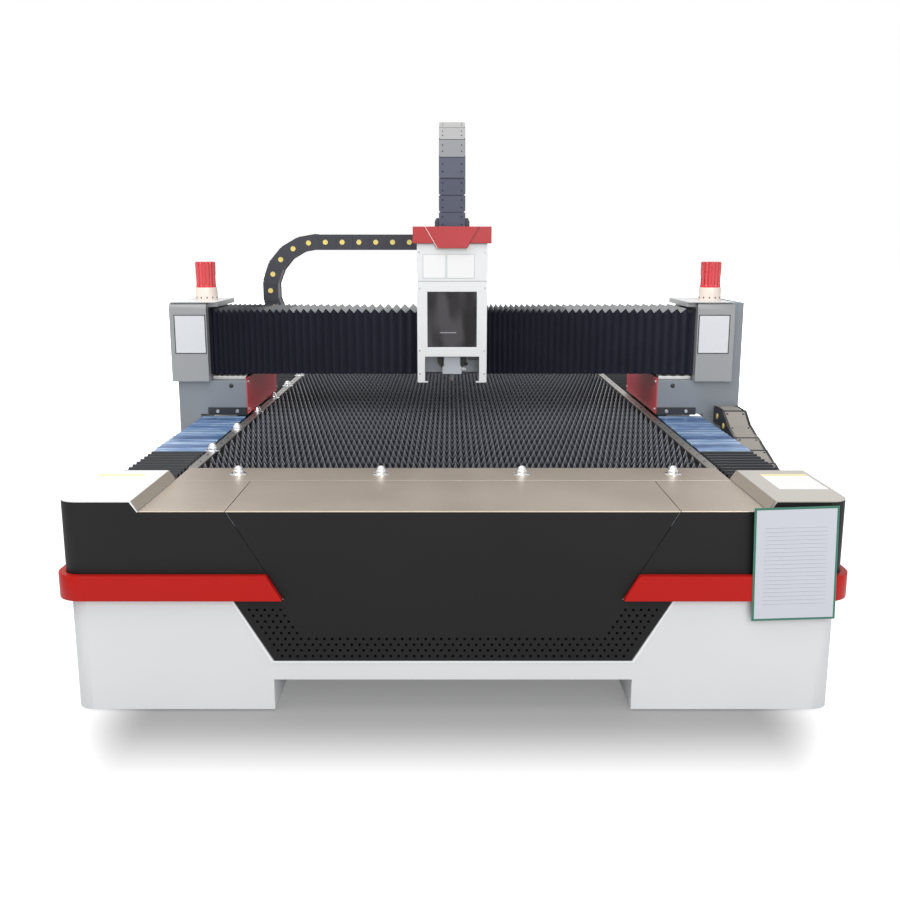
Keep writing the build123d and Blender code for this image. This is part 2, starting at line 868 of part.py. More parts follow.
# Y drives: a servo motor on a gearbox in each saddle
with BuildPart() as y_drives:
    gearbox_z = saddle_bottom + saddle_floor
    for side, hand in hands:
        with Locations((side * motor_x, motor_y, gearbox_z)):
            Box(gearbox_width, gearbox_width, gearbox_height, align=(Align.CENTER, Align.CENTER, Align.MIN))
        with Locations((side * motor_x, motor_y, gearbox_z + gearbox_height)):
            Box(
                motor_width,
                motor_width,
                motor_height - gearbox_height,
                align=(Align.CENTER, Align.CENTER, Align.MIN),
            )
    chamfer(edges().filter_by(Axis.Z), saddle_wall)
save(y_drives, "y_drives")

# Y pinions: plain at the pitch line, each on the shaft that comes out of its gearbox
for side, hand in hands:
    with BuildPart() as pinion:
        pinion_z = side_beam_top + y_pinion_lift
        with Locations((side * motor_x, motor_y, pinion_z)):
            Cylinder(y_pinion_radius, y_pinion_height, align=(Align.CENTER, Align.CENTER, Align.MIN))
        with Locations((side * motor_x, motor_y, pinion_z + y_pinion_height)):
            Cylinder(
                y_shaft_radius,
                gearbox_z - seat_gap - pinion_z - y_pinion_height,
                align=(Align.CENTER, Align.CENTER, Align.MIN),
            )
    save(pinion, f"y_pinion_{hand}")

# Beam: a rectangular tube on two feet, across the saddles
with BuildPart() as beam:
    block((-end_box_inner, end_box_inner), (beam_y, beam_back), (beam_bottom, beam_top))
    block(
        (-end_box_inner - overrun, end_box_inner + overrun),
        (beam_y + beam_wall, beam_back - beam_wall),
        (beam_bottom + beam_wall, beam_top - beam_wall),
        mode=Mode.SUBTRACT,
    )
    for side, hand in hands:
        foot_x = both(side, end_box_inner - beam_foot_length, end_box_inner)
        block(foot_x, (beam_y, beam_back), (saddle_top, beam_bottom))
save(beam, "beam")

# End boxes: folded sheet boxes at the beam's ends, with a flange over the bellows
for side, hand in hands:
    with BuildPart() as end_box:
        outer = end_box_inner + end_box_width
        block(both(side, end_box_inner, outer), (end_box_y, beam_back), (saddle_top, end_box_top))
        top_front = edges().filter_by(Axis.X).group_by(Axis.Z)[-1].sort_by(Axis.Y)[0]
        fillet(top_front, end_box_round)
        block(
            both(side, end_box_inner + sheet, outer - sheet),
            (end_box_y + sheet, beam_back - sheet),
            (saddle_top - overrun, end_box_top - end_box_round),
            mode=Mode.SUBTRACT,
        )
        block(
            both(side, end_box_inner - end_flange_length, end_box_inner),
            (end_box_y + end_flange_inset, beam_back - frame_tube),
            (end_box_top - end_flange_thick, end_box_top),
        )
    save(end_box, f"end_box_{hand}")

# Beacon bases and lenses on the end boxes
beacon_y = gantry_y + beacon_set_back
beacon_places = [
    (-end_box_inner - beacon_left_inset, beacon_y),
    (end_box_inner + beacon_right_inset, beacon_y),
]
with BuildPart() as beacon_bases:
    with Locations(*[(x, y, end_box_top) for x, y in beacon_places]):
        Cylinder(beacon_base_radius, beacon_base_height, align=(Align.CENTER, Align.CENTER, Align.MIN))
save(beacon_bases, "beacon_bases")
with BuildPart() as beacon_lenses:
    with Locations(*[(x, y, end_box_top + beacon_base_height) for x, y in beacon_places]):
        Cylinder(beacon_lens_radius, beacon_lens_height, align=(Align.CENTER, Align.CENTER, Align.MIN))
    fillet(edges().group_by(Axis.Z)[-1], beacon_dome)
save(beacon_lenses, "beacon_lenses")

# X guideways: two rails and a rack on the beam's front
with BuildPart() as x_guideways:
    rail_half = end_box_inner - x_rail_inset
    for low in (x_rail_low, x_rail_high):
        block((-rail_half, rail_half), (x_rail_y, beam_y), (low, low + x_rail_height))
    rack_y = beam_y - x_rack_depth
    block((-rail_half, rail_half), (rack_y, beam_y), (x_rack_bottom, x_rack_bottom + x_rack_height))
save(x_guideways, "x_guideways")

# X bellows: pleated covers over the front and the top of the beam, from the end boxes to the carriage
with BuildPart() as x_bellows:
    bellows_y = gantry_y + x_bellows_front
    bellows_low = beam_bottom + x_bellows_drop
    bellows_high = beam_top + x_bellows_rise
    bellows_back = bellows_y + x_bellows_return
    inner_end = carriage_half + seat_gap
    outer_end = end_box_inner - seat_gap
    folds = round((outer_end - inner_end) / x_bellows_pitch)
    for side, hand in hands:
        for i in range(2 * folds + 1):
            station = inner_end + (outer_end - inner_end) * i / (2 * folds)
            sink = (x_bellows_fold - x_bellows_thick) * (i % 2)
            with BuildSketch(Plane.YZ.offset(side * station)):
                Polygon(
                    (bellows_y + sink, bellows_low),
                    (bellows_y + sink + x_bellows_thick, bellows_low),
                    (bellows_y + sink + x_bellows_thick, bellows_high - sink - x_bellows_thick),
                    (bellows_back, bellows_high - sink - x_bellows_thick),
                    (bellows_back, bellows_high - sink),
                    (bellows_y + sink, bellows_high - sink),
                    align=None,
                )
        loft(ruled=True)
save(x_bellows, "x_bellows")

# Carriage plate: the head's back plate, with the X drive's shaft hole
with BuildPart() as carriage_plate:
    block(
        (-carriage_half, carriage_half),
        (carriage_y, carriage_back),
        (beam_bottom + carriage_rise, carriage_top),
    )
    with Locations(Plane(origin=(x_pinion_x, carriage_y, x_pinion_z), z_dir=(0, -1, 0))):
        Hole(x_shaft_radius + shaft_play)
save(carriage_plate, "carriage_plate")

# X runners: guide blocks behind the carriage plate, two on each rail
with BuildPart() as x_runners:
    for low in (x_rail_low, x_rail_high):
        for side, hand in hands:
            far = carriage_half - x_runner_inset
            block(
                both(side, far - x_runner_length, far),
                (carriage_back, carriage_back + x_runner_depth),
                (low - x_runner_margin, low + x_rail_height + x_runner_margin),
            )
            block(
                both(side, far - x_runner_length - overrun, far + overrun),
                (x_rail_y - seat_gap, beam_y),
                (low - seat_gap, low + x_rail_height + seat_gap),
                mode=Mode.SUBTRACT,
            )
save(x_runners, "x_runners")

# X drive: a servo motor and gearbox on the front of the carriage plate
with BuildPart() as x_drive:
    with Locations(Plane(origin=(x_pinion_x, carriage_y, x_pinion_z), z_dir=(0, -1, 0))):
        Box(x_gearbox_width, x_gearbox_width, x_gearbox_length, align=(Align.CENTER, Align.CENTER, Align.MIN))
        Box(
            x_motor_width,
            x_motor_width,
            x_gearbox_length + x_motor_length,
            align=(Align.CENTER, Align.CENTER, Align.MIN),
        )
save(x_drive, "x_drive")

# X pinion: plain at the pitch line, on the shaft through the carriage plate
with BuildPart() as x_pinion:
    with Locations(Plane(origin=(x_pinion_x, beam_y - shaft_play, x_pinion_z), z_dir=(0, -1, 0))):
        Cylinder(x_pinion_radius, x_pinion_width, align=(Align.CENTER, Align.CENTER, Align.MIN))
        Cylinder(
            x_shaft_radius,
            beam_y - shaft_play - carriage_y - seat_gap,
            align=(Align.CENTER, Align.CENTER, Align.MIN),
        )
save(x_pinion, "x_pinion")

# Head cover: a folded white cover with two legs, open below and behind
with BuildPart() as head_cover:
    rows = (cover_y, carriage_y + cover_wrap)
    block((-cover_half, cover_half), rows, (cover_bottom, cover_top))
    block(
        (-carriage_half, carriage_half),
        (cover_y + sheet, rows[1] + overrun),
        (cover_bottom - overrun, cover_top + overrun),
        mode=Mode.SUBTRACT,
    )
    cut = (cover_y - overrun, cover_y + sheet)
    window_half = window_width / 2
    leg_half = cover_half - cover_leg
    block((-window_half, window_half), cut, (window_bottom, window_top), mode=Mode.SUBTRACT)
    block((-leg_half, leg_half), cut, (cover_bottom - overrun, cover_bar_bottom), mode=Mode.SUBTRACT)
    for side, hand in hands:
        block(
            both(side, leg_half - cover_foot, leg_half),
            (cover_y, cover_y + sheet),
            (cover_bottom, cover_bottom + cover_foot_height),
        )
save(head_cover, "head_cover")

# Head window: a smoky pane behind the cover's front
with BuildPart() as head_window:
    block(
        (-window_half - window_lap, window_half + window_lap),
        (cover_y + sheet, cover_y + sheet + window_thick),
        (window_bottom - window_lap, window_top + window_lap),
    )
save(head_window, "head_window")

# Head cap: a red moulded cap with a centre shield and a slot for the Z chain
with BuildPart() as head_cap:
    cap_y = cover_y - cap_overhang
    cap_length = carriage_y + cap_back - cap_y
    with BuildSketch(Plane.XZ.offset(-cap_y)):
        crown = [(cap_half, cover_top), (cap_half, cap_top)]
        Polygon(*crown, *[(-x, z) for x, z in reversed(crown)], align=None)
    extrude(amount=-cap_length)
    block(
        (-carriage_half, carriage_half),
        (cap_y + sheet, cap_y + cap_length - sheet),
        (cover_top - overrun, cap_top - sheet),
        mode=Mode.SUBTRACT,
    )
    slot_half = z_chain_height / 2 + chain_slot_play
    slot_x = chain_width / 2 + chain_slot_play
    block(
        (-slot_x, slot_x),
        (z_chain_y - slot_half, z_chain_y + slot_half),
        (cover_top, cap_top + overrun),
        mode=Mode.SUBTRACT,
    )
    with BuildSketch(Plane.XZ.offset(-cap_y)):
        badge = [(shield_bottom / 2, cover_top - shield_drop), (shield_top / 2, cap_top)]
        Polygon(*badge, *[(-x, z) for x, z in reversed(badge)], align=None)
    extrude(amount=shield_thick)
save(head_cap, "head_cap")

# Z module: a closed lift unit with its motor, on the carriage plate
with BuildPart() as z_module:
    block((-z_module_half, z_module_half), (z_module_y, carriage_y), (z_module_bottom, z_module_top))
    motor_half = z_motor_width / 2
    block(
        (-motor_half, motor_half),
        (carriage_y - weld_gap - z_motor_width, carriage_y - weld_gap),
        (z_module_top, z_module_top + z_motor_height),
    )
save(z_module, "z_module")

# Z slide: the plate that the lift module moves
with BuildPart() as z_slide:
    slide_y = (z_slide_y, z_slide_y + z_slide_thick)
    block((-z_slide_half, z_slide_half), slide_y, (z_slide_bottom, z_slide_top))
save(z_slide, "z_slide")

# Cutting head: collimator, lens block, lower block and sensor ring
with BuildPart() as cutting_head:
    block((-head_width / 2, head_width / 2), (head_y, z_slide_y), (head_block_bottom, head_block_top))
    chamfer(edges().filter_by(Axis.Z), sheet)
    with Locations((0, head_centre_y, (head_lower_bottom + head_block_bottom) / 2)):
        Box(head_lower_width, head_lower_width, head_block_bottom - head_lower_bottom)
    with Locations((0, head_centre_y, (head_block_top + z_slide_top) / 2)):
        Cylinder(collimator_radius, z_slide_top - head_block_top)
    with Locations((0, head_centre_y, (sensor_bottom + head_lower_bottom) / 2)):
        Cone(nozzle_radius, sensor_radius, head_lower_bottom - sensor_bottom)
save(cutting_head, "cutting_head")

# Nozzle: a turned copper tip with a through bore
with BuildPart() as nozzle:
    with Locations((0, head_centre_y, (nozzle_tip + sensor_bottom) / 2)):
        Cone(nozzle_tip_radius, nozzle_radius, sensor_bottom - nozzle_tip)
        Cylinder(nozzle_bore, sensor_bottom - nozzle_tip, mode=Mode.SUBTRACT)
save(nozzle, "nozzle")

# Chain arm: a plate over the beam from the carriage to the X chain's end
with BuildPart() as chain_arm:
    arm_left = x_chain_end - arm_thick
    arm_back = x_chain_y + chain_width / 2 + arm_margin
    block((-arm_left, arm_right), (carriage_back, arm_back), (carriage_top - arm_thick, carriage_top))
    block(
        (-x_chain_end, -arm_left),
        (arm_back - chain_width - 2 * arm_margin, arm_back),
        (carriage_top - arm_thick, x_chain_top),
    )
save(chain_arm, "chain_arm")

# X chain: upper run to the arm, half-turn bend, lower run in its tray
x_mid_radius = x_chain_radius - chain_height / 2
x_centre_z = x_chain_top - x_chain_radius
with BuildPart() as x_chain_upper:
    level = x_chain_top - chain_height / 2
    places, length = run_places(
        (-x_chain_bend_x + seat_gap, x_chain_y, level),
        (-x_chain_end, x_chain_y, level),
        (0, 0, 1),
        chain_pitch,
    )
    chain_links(places, length, chain_width, chain_height)
save(x_chain_upper, "x_chain_upper")
with BuildPart() as x_chain_bend:
    places, length = bend_places(
        (-x_chain_bend_x, x_chain_y, x_centre_z), x_mid_radius, (0, 0, 1), (-1, 0, 0), chain_pitch
    )
    chain_links(places, length, chain_width, chain_height)
    block(
        (-x_chain_bend_x - 2 * x_chain_radius, -x_chain_bend_x),
        (x_chain_y - chain_width, x_chain_y + chain_width),
        (x_centre_z - x_chain_radius, x_centre_z + x_chain_radius),
        mode=Mode.INTERSECT,
    )
save(x_chain_bend, "x_chain_bend")
with BuildPart() as x_chain_lower:
    level = x_chain_top - 2 * x_chain_radius + chain_height / 2
    places, length = run_places(
        (-x_chain_bend_x + seat_gap, x_chain_y, level),
        (-x_chain_fixed_x, x_chain_y, level),
        (0, 0, -1),
        chain_pitch,
    )
    chain_links(places, length, chain_width, chain_height)
save(x_chain_lower, "x_chain_lower")

# X chain tray: a folded channel behind the beam under the lower run
with BuildPart() as x_chain_tray:
    tray_top = x_chain_top - 2 * x_chain_radius - seat_gap
    tray_half_y = chain_width / 2 + chain_tray_play
    tray_x = (-chain_tray_end, -x_chain_fixed_x + chain_height)
    rows = (x_chain_y - tray_half_y - chain_tray_floor, x_chain_y + tray_half_y + chain_tray_floor)
    block(tray_x, (beam_back, rows[1]), (tray_top - chain_tray_floor, tray_top))
    block(tray_x, (rows[1] - chain_tray_floor, rows[1]), (tray_top, tray_top + chain_tray_lip))
    block(tray_x, (beam_back, beam_back + chain_tray_floor), (beam_bottom, tray_top))
save(x_chain_tray, "x_chain_tray")

# Z chain: up from the cutting head through the cap, over a half turn and down to the arm
with BuildPart() as z_chain:
    z_rear_y = z_chain_y + z_chain_span
    places, length = run_places(
        (0, z_chain_y, z_slide_top + z_chain_lift), (0, z_chain_y, z_chain_centre), (0, -1, 0), z_chain_pitch
    )
    chain_links(places, length, chain_width, z_chain_height)
    places, length = bend_places(
        (0, (z_chain_y + z_rear_y) / 2, z_chain_centre),
        z_chain_span / 2,
        (0, -1, 0),
        (0, 0, 1),
        z_chain_pitch,
    )
    chain_links(places, length, chain_width, z_chain_height)
    places, length = run_places(
        (0, z_rear_y, z_chain_centre), (0, z_rear_y, carriage_top), (0, 1, 0), z_chain_pitch
    )
    chain_links(places, length, chain_width, z_chain_height)
save(z_chain, "z_chain")

# Y chain: upper run sagging from the right saddle, half-turn bend, lower run in its trough
y_chain_x = y_chain_inner + y_chain_width / 2
y_bend_radius = (y_chain_bend_top - y_chain_bottom) / 2
y_mid_radius = y_bend_radius - chain_height / 2
y_bend_z = y_chain_bottom + y_bend_radius
y_bend_y = front_y + y_chain_bend_y
with BuildPart() as y_chain_upper:
    half = chain_height / 2
    column_end = (y_chain_x, gantry_y - seat_gap, y_chain_top - half)
    flat_end = (y_chain_x, gantry_y - y_chain_flat, y_chain_top - half)
    knee_end = (y_chain_x, gantry_y - y_chain_flat - y_chain_knee, y_chain_top - y_chain_knee_drop - half)
    bend_end = (y_chain_x, y_bend_y + overrun, y_chain_bend_top - half)
    for start, end in ((bend_end, knee_end), (knee_end, flat_end), (flat_end, column_end)):
        run = Vector(*end) - Vector(*start)
        places, length = run_places(start, end, (0, -run.Z, run.Y), chain_pitch)
        chain_links(places, length, y_chain_width, chain_height)
save(y_chain_upper, "y_chain_upper")
with BuildPart() as y_chain_bend:
    places, length = bend_places(
        (y_chain_x, y_bend_y, y_bend_z), y_mid_radius, (0, 0, 1), (0, -1, 0), chain_pitch
    )
    chain_links(places, length, y_chain_width, chain_height)
    block(
        (y_chain_inner - overrun, y_chain_inner + y_chain_width + overrun),
        (y_bend_y - 2 * y_bend_radius, y_bend_y),
        (y_chain_bottom, y_chain_bend_top),
        mode=Mode.INTERSECT,
    )
save(y_chain_bend, "y_chain_bend")
with BuildPart() as y_chain_lower:
    level = y_chain_bottom + chain_height / 2
    places, length = run_places(
        (y_chain_x, y_bend_y + seat_gap, level),
        (y_chain_x, front_y + y_chain_fixed_y, level),
        (0, 0, -1),
        chain_pitch,
    )
    chain_links(places, length, y_chain_width, chain_height)
save(y_chain_lower, "y_chain_lower")

# Y chain trough: a folded channel on brackets along the right side of the bed
with BuildPart() as y_chain_trough:
    floor_z = y_chain_bottom - seat_gap
    inner_x = y_chain_inner - chain_tray_play
    outer_x = y_chain_inner + y_chain_width + chain_tray_play
    rows = (front_y + trough_front, front_y + y_chain_fixed_y + overrun)
    block((inner_x - trough_wall, outer_x + trough_wall), rows, (floor_z - trough_wall, floor_z + trough_lip))
    block(
        (inner_x, outer_x),
        (rows[0] - overrun, rows[1] + overrun),
        (floor_z, floor_z + trough_lip + overrun),
        mode=Mode.SUBTRACT,
    )
    bracket_pitch = (rows[1] - rows[0] - 2 * trough_bracket_inset) / (trough_bracket_count - 1)
    for i in range(trough_bracket_count):
        bracket_y = rows[0] + trough_bracket_inset + bracket_pitch * i
        block(
            (side_beam_outer + sheet, inner_x - trough_wall),
            (bracket_y - trough_bracket / 2, bracket_y + trough_bracket / 2),
            (floor_z - trough_wall, floor_z),
        )
save(y_chain_trough, "y_chain_trough")
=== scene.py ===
import math

import bmesh
import bpy
from mathutils import Matrix, Vector


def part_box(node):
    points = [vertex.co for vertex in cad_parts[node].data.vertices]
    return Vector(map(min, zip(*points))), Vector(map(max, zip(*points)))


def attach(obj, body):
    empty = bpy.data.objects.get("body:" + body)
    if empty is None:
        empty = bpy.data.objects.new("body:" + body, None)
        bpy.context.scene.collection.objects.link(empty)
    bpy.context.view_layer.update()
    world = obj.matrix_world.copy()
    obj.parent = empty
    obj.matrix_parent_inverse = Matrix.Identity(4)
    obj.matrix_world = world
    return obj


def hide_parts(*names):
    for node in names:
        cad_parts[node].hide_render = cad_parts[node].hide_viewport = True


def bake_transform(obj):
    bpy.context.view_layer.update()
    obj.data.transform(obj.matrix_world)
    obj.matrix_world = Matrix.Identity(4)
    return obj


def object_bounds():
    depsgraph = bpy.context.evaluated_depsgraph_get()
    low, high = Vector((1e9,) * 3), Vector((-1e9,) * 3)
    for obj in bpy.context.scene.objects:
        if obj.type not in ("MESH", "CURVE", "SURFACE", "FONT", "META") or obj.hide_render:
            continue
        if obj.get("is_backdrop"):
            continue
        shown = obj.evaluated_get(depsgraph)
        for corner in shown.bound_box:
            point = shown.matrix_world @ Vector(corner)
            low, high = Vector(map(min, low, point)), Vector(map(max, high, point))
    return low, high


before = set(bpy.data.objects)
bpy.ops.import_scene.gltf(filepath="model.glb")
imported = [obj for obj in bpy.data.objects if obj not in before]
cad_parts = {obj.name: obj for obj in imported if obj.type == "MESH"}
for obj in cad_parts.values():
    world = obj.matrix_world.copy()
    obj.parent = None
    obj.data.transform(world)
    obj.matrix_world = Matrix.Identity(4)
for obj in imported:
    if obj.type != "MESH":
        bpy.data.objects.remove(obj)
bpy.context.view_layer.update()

# Bed frame: long side beams, cross members, legs and the cabinet's tubes, welded from steel tube.
# It is sprayed in mid grey, which gives a soft sheen, a slow drift of tone and a little orange peel.
mm = 0.001


def linear(hex_colour):
    """An sRGB hex colour as linear RGBA."""
    parts = [int(hex_colour[i : i + 2], 16) / 255 for i in (1, 3, 5)]
    return [c / 12.92 if c <= 0.04045 else ((c + 0.055) / 1.055) ** 2.4 for c in parts] + [1.0]


def add(tree, kind, inputs=None, **settings):
    """Adds a node. Each input is a value, a socket, or a node, whose first output in use is taken."""
    node = tree.nodes.new(kind)
    for name, value in settings.items():
        setattr(node, name, value)
    for socket, value in (inputs or {}).items():
        if isinstance(value, bpy.types.Node):
            value = next(output for output in value.outputs if output.enabled)
        if isinstance(value, bpy.types.NodeSocket):
            tree.links.new(value, node.inputs[socket])
        else:
            node.inputs[socket].default_value = value
    return node


def new_material(name):
    """A material without a shader yet, its node tree, and the places on the piece that textures go by."""
    material = bpy.data.materials.new(name)
    material.use_nodes = True
    tree = material.node_tree
    tree.nodes.remove(tree.nodes["Principled BSDF"])
    return material, tree, add(tree, "ShaderNodeTexCoord").outputs["Object"]


def coat(tree, inputs):
    """Adds the shader and joins it to the material's output."""
    shader = add(tree, "ShaderNodeBsdfPrincipled", inputs)
    tree.links.new(shader.outputs["BSDF"], tree.nodes["Material Output"].inputs["Surface"])


def sprayed(name, colour, shade, roughness, peel=3 * mm, peel_depth=0.12, gloss=0.5, across=None):
    """Sprayed or powder-coated steel: tone drifts, or shifts along X, and the coat has an orange peel."""
    material, tree, place = new_material(name)
    cloud = add(tree, "ShaderNodeTexNoise", {"Vector": place, "Scale": 1 / (400 * mm), "Detail": 4.0})
    shift = cloud
    if across:
        ways = add(tree, "ShaderNodeSeparateXYZ", {"Vector": place})
        reach = {"Value": ways.outputs["X"], "From Min": across[0], "From Max": across[1]}
        shift = add(tree, "ShaderNodeMapRange", reach)
    shades = {0: shift, 6: linear(colour), 7: linear(shade)}
    tone = add(tree, "ShaderNodeMix", shades, data_type="RGBA")
    grain = add(tree, "ShaderNodeTexNoise", {"Vector": place, "Scale": 1 / peel, "Detail": 1.0})
    rough = add(
        tree, "ShaderNodeMapRange", {"Value": cloud, "To Min": roughness - 0.05, "To Max": roughness + 0.05}
    )
    bump = add(tree, "ShaderNodeBump", {"Height": grain, "Strength": peel_depth, "Distance": 0.1 * mm})
    coat(tree, {"Base Color": tone, "Roughness": rough, "Specular IOR Level": gloss, "Normal": bump})
    return material


def round_edges(made, width, angle):
    """Rounds the edges that turn by more than an angle in degrees."""
    bevel = made.modifiers.new("edges", "BEVEL")
    bevel.width = width
    bevel.segments = 2
    bevel.limit_method = "ANGLE"
    bevel.angle_limit = math.radians(angle)


def dress(material, *names, edge=0.0):
    """Gives CAD nodes a material, and rounds their edges where the real ones are folded or broken."""
    for name in names:
        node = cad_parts[name]
        node.data.materials.clear()
        node.data.materials.append(material)
        if edge:
            node.modifiers.new("merge", "WELD").merge_threshold = 0.01 * mm
            round_edges(node, edge, angle=40)


bed_paint = sprayed("sprayed bed steel", "#8A8F95", "#7E8389", 0.5)
dress(bed_paint, "side_beams", "cross_members", "bed_legs", "front_frame", edge=3 * mm)
dress(bed_paint, "exhaust_spigot")

# Levelling feet: turned steel pads on threaded stems, each locked by a hexagon nut.
# Zinc-plated steel with a fine turned grain; the nuts are separate pieces against the legs.
nut_across = 19 * mm
nut_height = 18 * mm


def metal(name, colour, roughness, grain, stretch=(1, 1, 1), depth=0.15, tint=None, bare=1.0):
    """Metal with its grain along the way it was worked; less than bare where a thin skin lies on it."""
    material, tree, place = new_material(name)
    lines = add(tree, "ShaderNodeMapping", {"Vector": place, "Scale": stretch})
    grit = add(
        tree, "ShaderNodeTexNoise", {"Vector": lines, "Scale": 1 / grain, "Detail": 5.0, "Roughness": 0.6}
    )
    cloud = add(tree, "ShaderNodeTexNoise", {"Vector": place, "Scale": 1 / (250 * mm), "Detail": 2.0})
    tone = add(
        tree, "ShaderNodeMix", {0: cloud, 6: linear(colour), 7: linear(tint or colour)}, data_type="RGBA"
    )
    rough = add(
        tree, "ShaderNodeMapRange", {"Value": grit, "To Min": roughness - 0.08, "To Max": roughness + 0.08}
    )
    bump = add(tree, "ShaderNodeBump", {"Height": grit, "Strength": depth, "Distance": 0.05 * mm})
    coat(tree, {"Base Color": tone, "Metallic": bare, "Roughness": rough, "Normal": bump})
    return material


def lathe(bm, profile, centre=(0, 0, 0), sides=24, rib=0.0):
    """Turns (radius, height) points about an upright axis; a rib lifts every second pair of sides."""
    rings = []
    for radius, height in profile:
        count = sides if radius else 1
        ring = []
        for i in range(count):
            angle = math.tau * i / sides
            reach = radius + (rib if i % 4 < 2 and radius else 0.0)
            spot = (reach * math.cos(angle), reach * math.sin(angle), height)
            ring.append(bm.verts.new(Vector(centre) + Vector(spot)))
        rings.append(ring)
    for low, high in zip(rings, rings[1:]):
        for i in range(sides):
            j = (i + 1) % sides
            corners = [low[i % len(low)], low[j % len(low)], high[j % len(high)], high[i % len(high)]]
            bm.faces.new(list(dict.fromkeys(corners)))
    for ring in (rings[0], rings[-1]):
        if len(ring) > 1:
            bm.faces.new(ring)


def piece(name, bm, *materials, edge=0.0, smooth=False):
    """A finished mesh object at the origin, with its faces turned outwards."""
    bmesh.ops.recalc_face_normals(bm, faces=bm.faces)
    mesh = bpy.data.meshes.new(name)
    bm.to_mesh(mesh)
    bm.free()
    for material in materials:
        mesh.materials.append(material)
    if smooth:
        mesh.shade_smooth()
        mesh.set_sharp_from_angle(angle=math.radians(35))
    made = bpy.data.objects.new(name, mesh)
    bpy.context.scene.collection.objects.link(made)
    if edge:
        round_edges(made, edge, angle=30)
    return made


def turned_piece(name, profile, sides=24, smooth=False):
    """A small turned part, to be set out at places."""
    bm = bmesh.new()
    lathe(bm, profile, sides=sides)
    return piece(name, bm, smooth=smooth)


def places_group():
    """Geometry Nodes: a copy of a piece at every point of a mesh, turned as the point says."""
    tree = bpy.data.node_groups.new("pieces_at_places", "GeometryNodeTree")
    sockets = {
        "Geometry": "NodeSocketGeometry", "Piece": "NodeSocketObject", "Size": "NodeSocketFloat",
        "Material": "NodeSocketMaterial",
    }
    for label, kind in sockets.items():
        tree.interface.new_socket(label, in_out="INPUT", socket_type=kind)
    tree.interface.new_socket("Geometry", in_out="OUTPUT", socket_type="NodeSocketGeometry")
    given = add(tree, "NodeGroupInput")
    shape = add(tree, "GeometryNodeObjectInfo", {"Object": given.outputs["Piece"]})
    points = add(tree, "GeometryNodeMeshToPoints", {"Mesh": given.outputs["Geometry"]})
    turn = add(tree, "GeometryNodeInputNamedAttribute", {"Name": "turn"}, data_type="FLOAT_VECTOR")
    turned = add(tree, "FunctionNodeEulerToRotation", {"Euler": turn.outputs["Attribute"]})
    placed = {"Points": points, "Instance": shape.outputs["Geometry"], "Rotation": turned}
    copies = add(tree, "GeometryNodeInstanceOnPoints", {**placed, "Scale": given.outputs["Size"]})
    real = add(tree, "GeometryNodeRealizeInstances", {"Geometry": copies})
    painted = add(tree, "GeometryNodeSetMaterial", {"Geometry": real, "Material": given.outputs["Material"]})
    add(tree, "NodeGroupOutput", {"Geometry": painted})
    return tree


pieces_at_places = places_group()


def set_out(name, shape, places, material, size=1.0, keep=False):
    """Copies of a shape at places, each a point with the ways its X and Z face, as one plain mesh."""
    mesh = bpy.data.meshes.new(name)
    mesh.from_pydata([spot for spot, along, outward in places], [], [])
    turns = mesh.attributes.new("turn", "FLOAT_VECTOR", "POINT")
    for item, (spot, along, outward) in zip(turns.data, places):
        x = Vector(along).normalized()
        z = Vector(outward).normalized()
        item.vector = Matrix((x, z.cross(x), z)).transposed().to_euler()
    made = bpy.data.objects.new(name, mesh)
    bpy.context.scene.collection.objects.link(made)
    modifier = made.modifiers.new("places", "NODES")
    modifier.node_group = pieces_at_places
    values = {"Piece": shape, "Size": size, "Material": material}
    for socket in pieces_at_places.interface.items_tree:
        if socket.in_out == "INPUT" and socket.name in values:
            modifier[socket.identifier] = values[socket.name]
    graph = bpy.context.evaluated_depsgraph_get()
    result = bpy.data.meshes.new_from_object(made.evaluated_get(graph))
    made.modifiers.remove(modifier)
    made.data = result
    if not keep:
        bpy.data.objects.remove(shape)
    return made


def fit(made, body, slot, *nodes):
    """Fixes a piece to its body and hides the CAD nodes that it stands for; slot is not used."""
    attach(made, body)
    if nodes:
        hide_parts(*nodes)


zinc = metal("zinc-plated steel", "#B9BABC", 0.35, 4 * mm, tint="#A9ABAE")
dress(zinc, "levelling_feet")
legs_low, legs_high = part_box("bed_legs")
leg_half = 60 * mm
leg_xs = (legs_low.x + leg_half, legs_high.x - leg_half)
leg_ys = [legs_low.y + leg_half + 1000 * mm * i for i in range(4)] + [legs_high.y - leg_half]
nut = turned_piece("nut_shape", [(nut_across, 0), (nut_across, nut_height)], sides=6)
up = (0, 0, 1)
right = (1, 0, 0)
nut_spots = [(Vector((x, y, legs_low.z - nut_height)), right, up) for x in leg_xs for y in leg_ys]
fit(set_out("foot_nuts", nut, nut_spots, zinc), "bed", "foot_steel")

# Front skirt, side covers and rear cover: folded sheet steel, screwed to the frame.
# White powder coat, matt satin; the skirt's cut edges beside the centre panel are turned out a little, and
# drawn a lighter white as a painted highlight.
skirt_low, skirt_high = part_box("front_skirt")
front_y = skirt_low.y
panel_foot = 146 * mm
panel_slant = 0.6
panel_low_half = 591 * mm
lip_width = 5 * mm
lip_proud = 2 * mm


def prism(bm, outline, low, high, axis, finish=0):
    """Extrudes a flat outline across an axis; the outline holds the other two coordinates in XYZ order."""
    ends = []
    faces = []
    for level in (low, high):
        corners = []
        for a, b in outline:
            spot = [a, b]
            spot.insert(axis, level)
            corners.append(bm.verts.new(spot))
        faces.append(bm.faces.new(corners))
        ends.append(corners)
    for i in range(len(outline)):
        j = (i + 1) % len(outline)
        faces.append(bm.faces.new((ends[0][i], ends[0][j], ends[1][j], ends[1][i])))
    for face in faces:
        face.material_index = finish


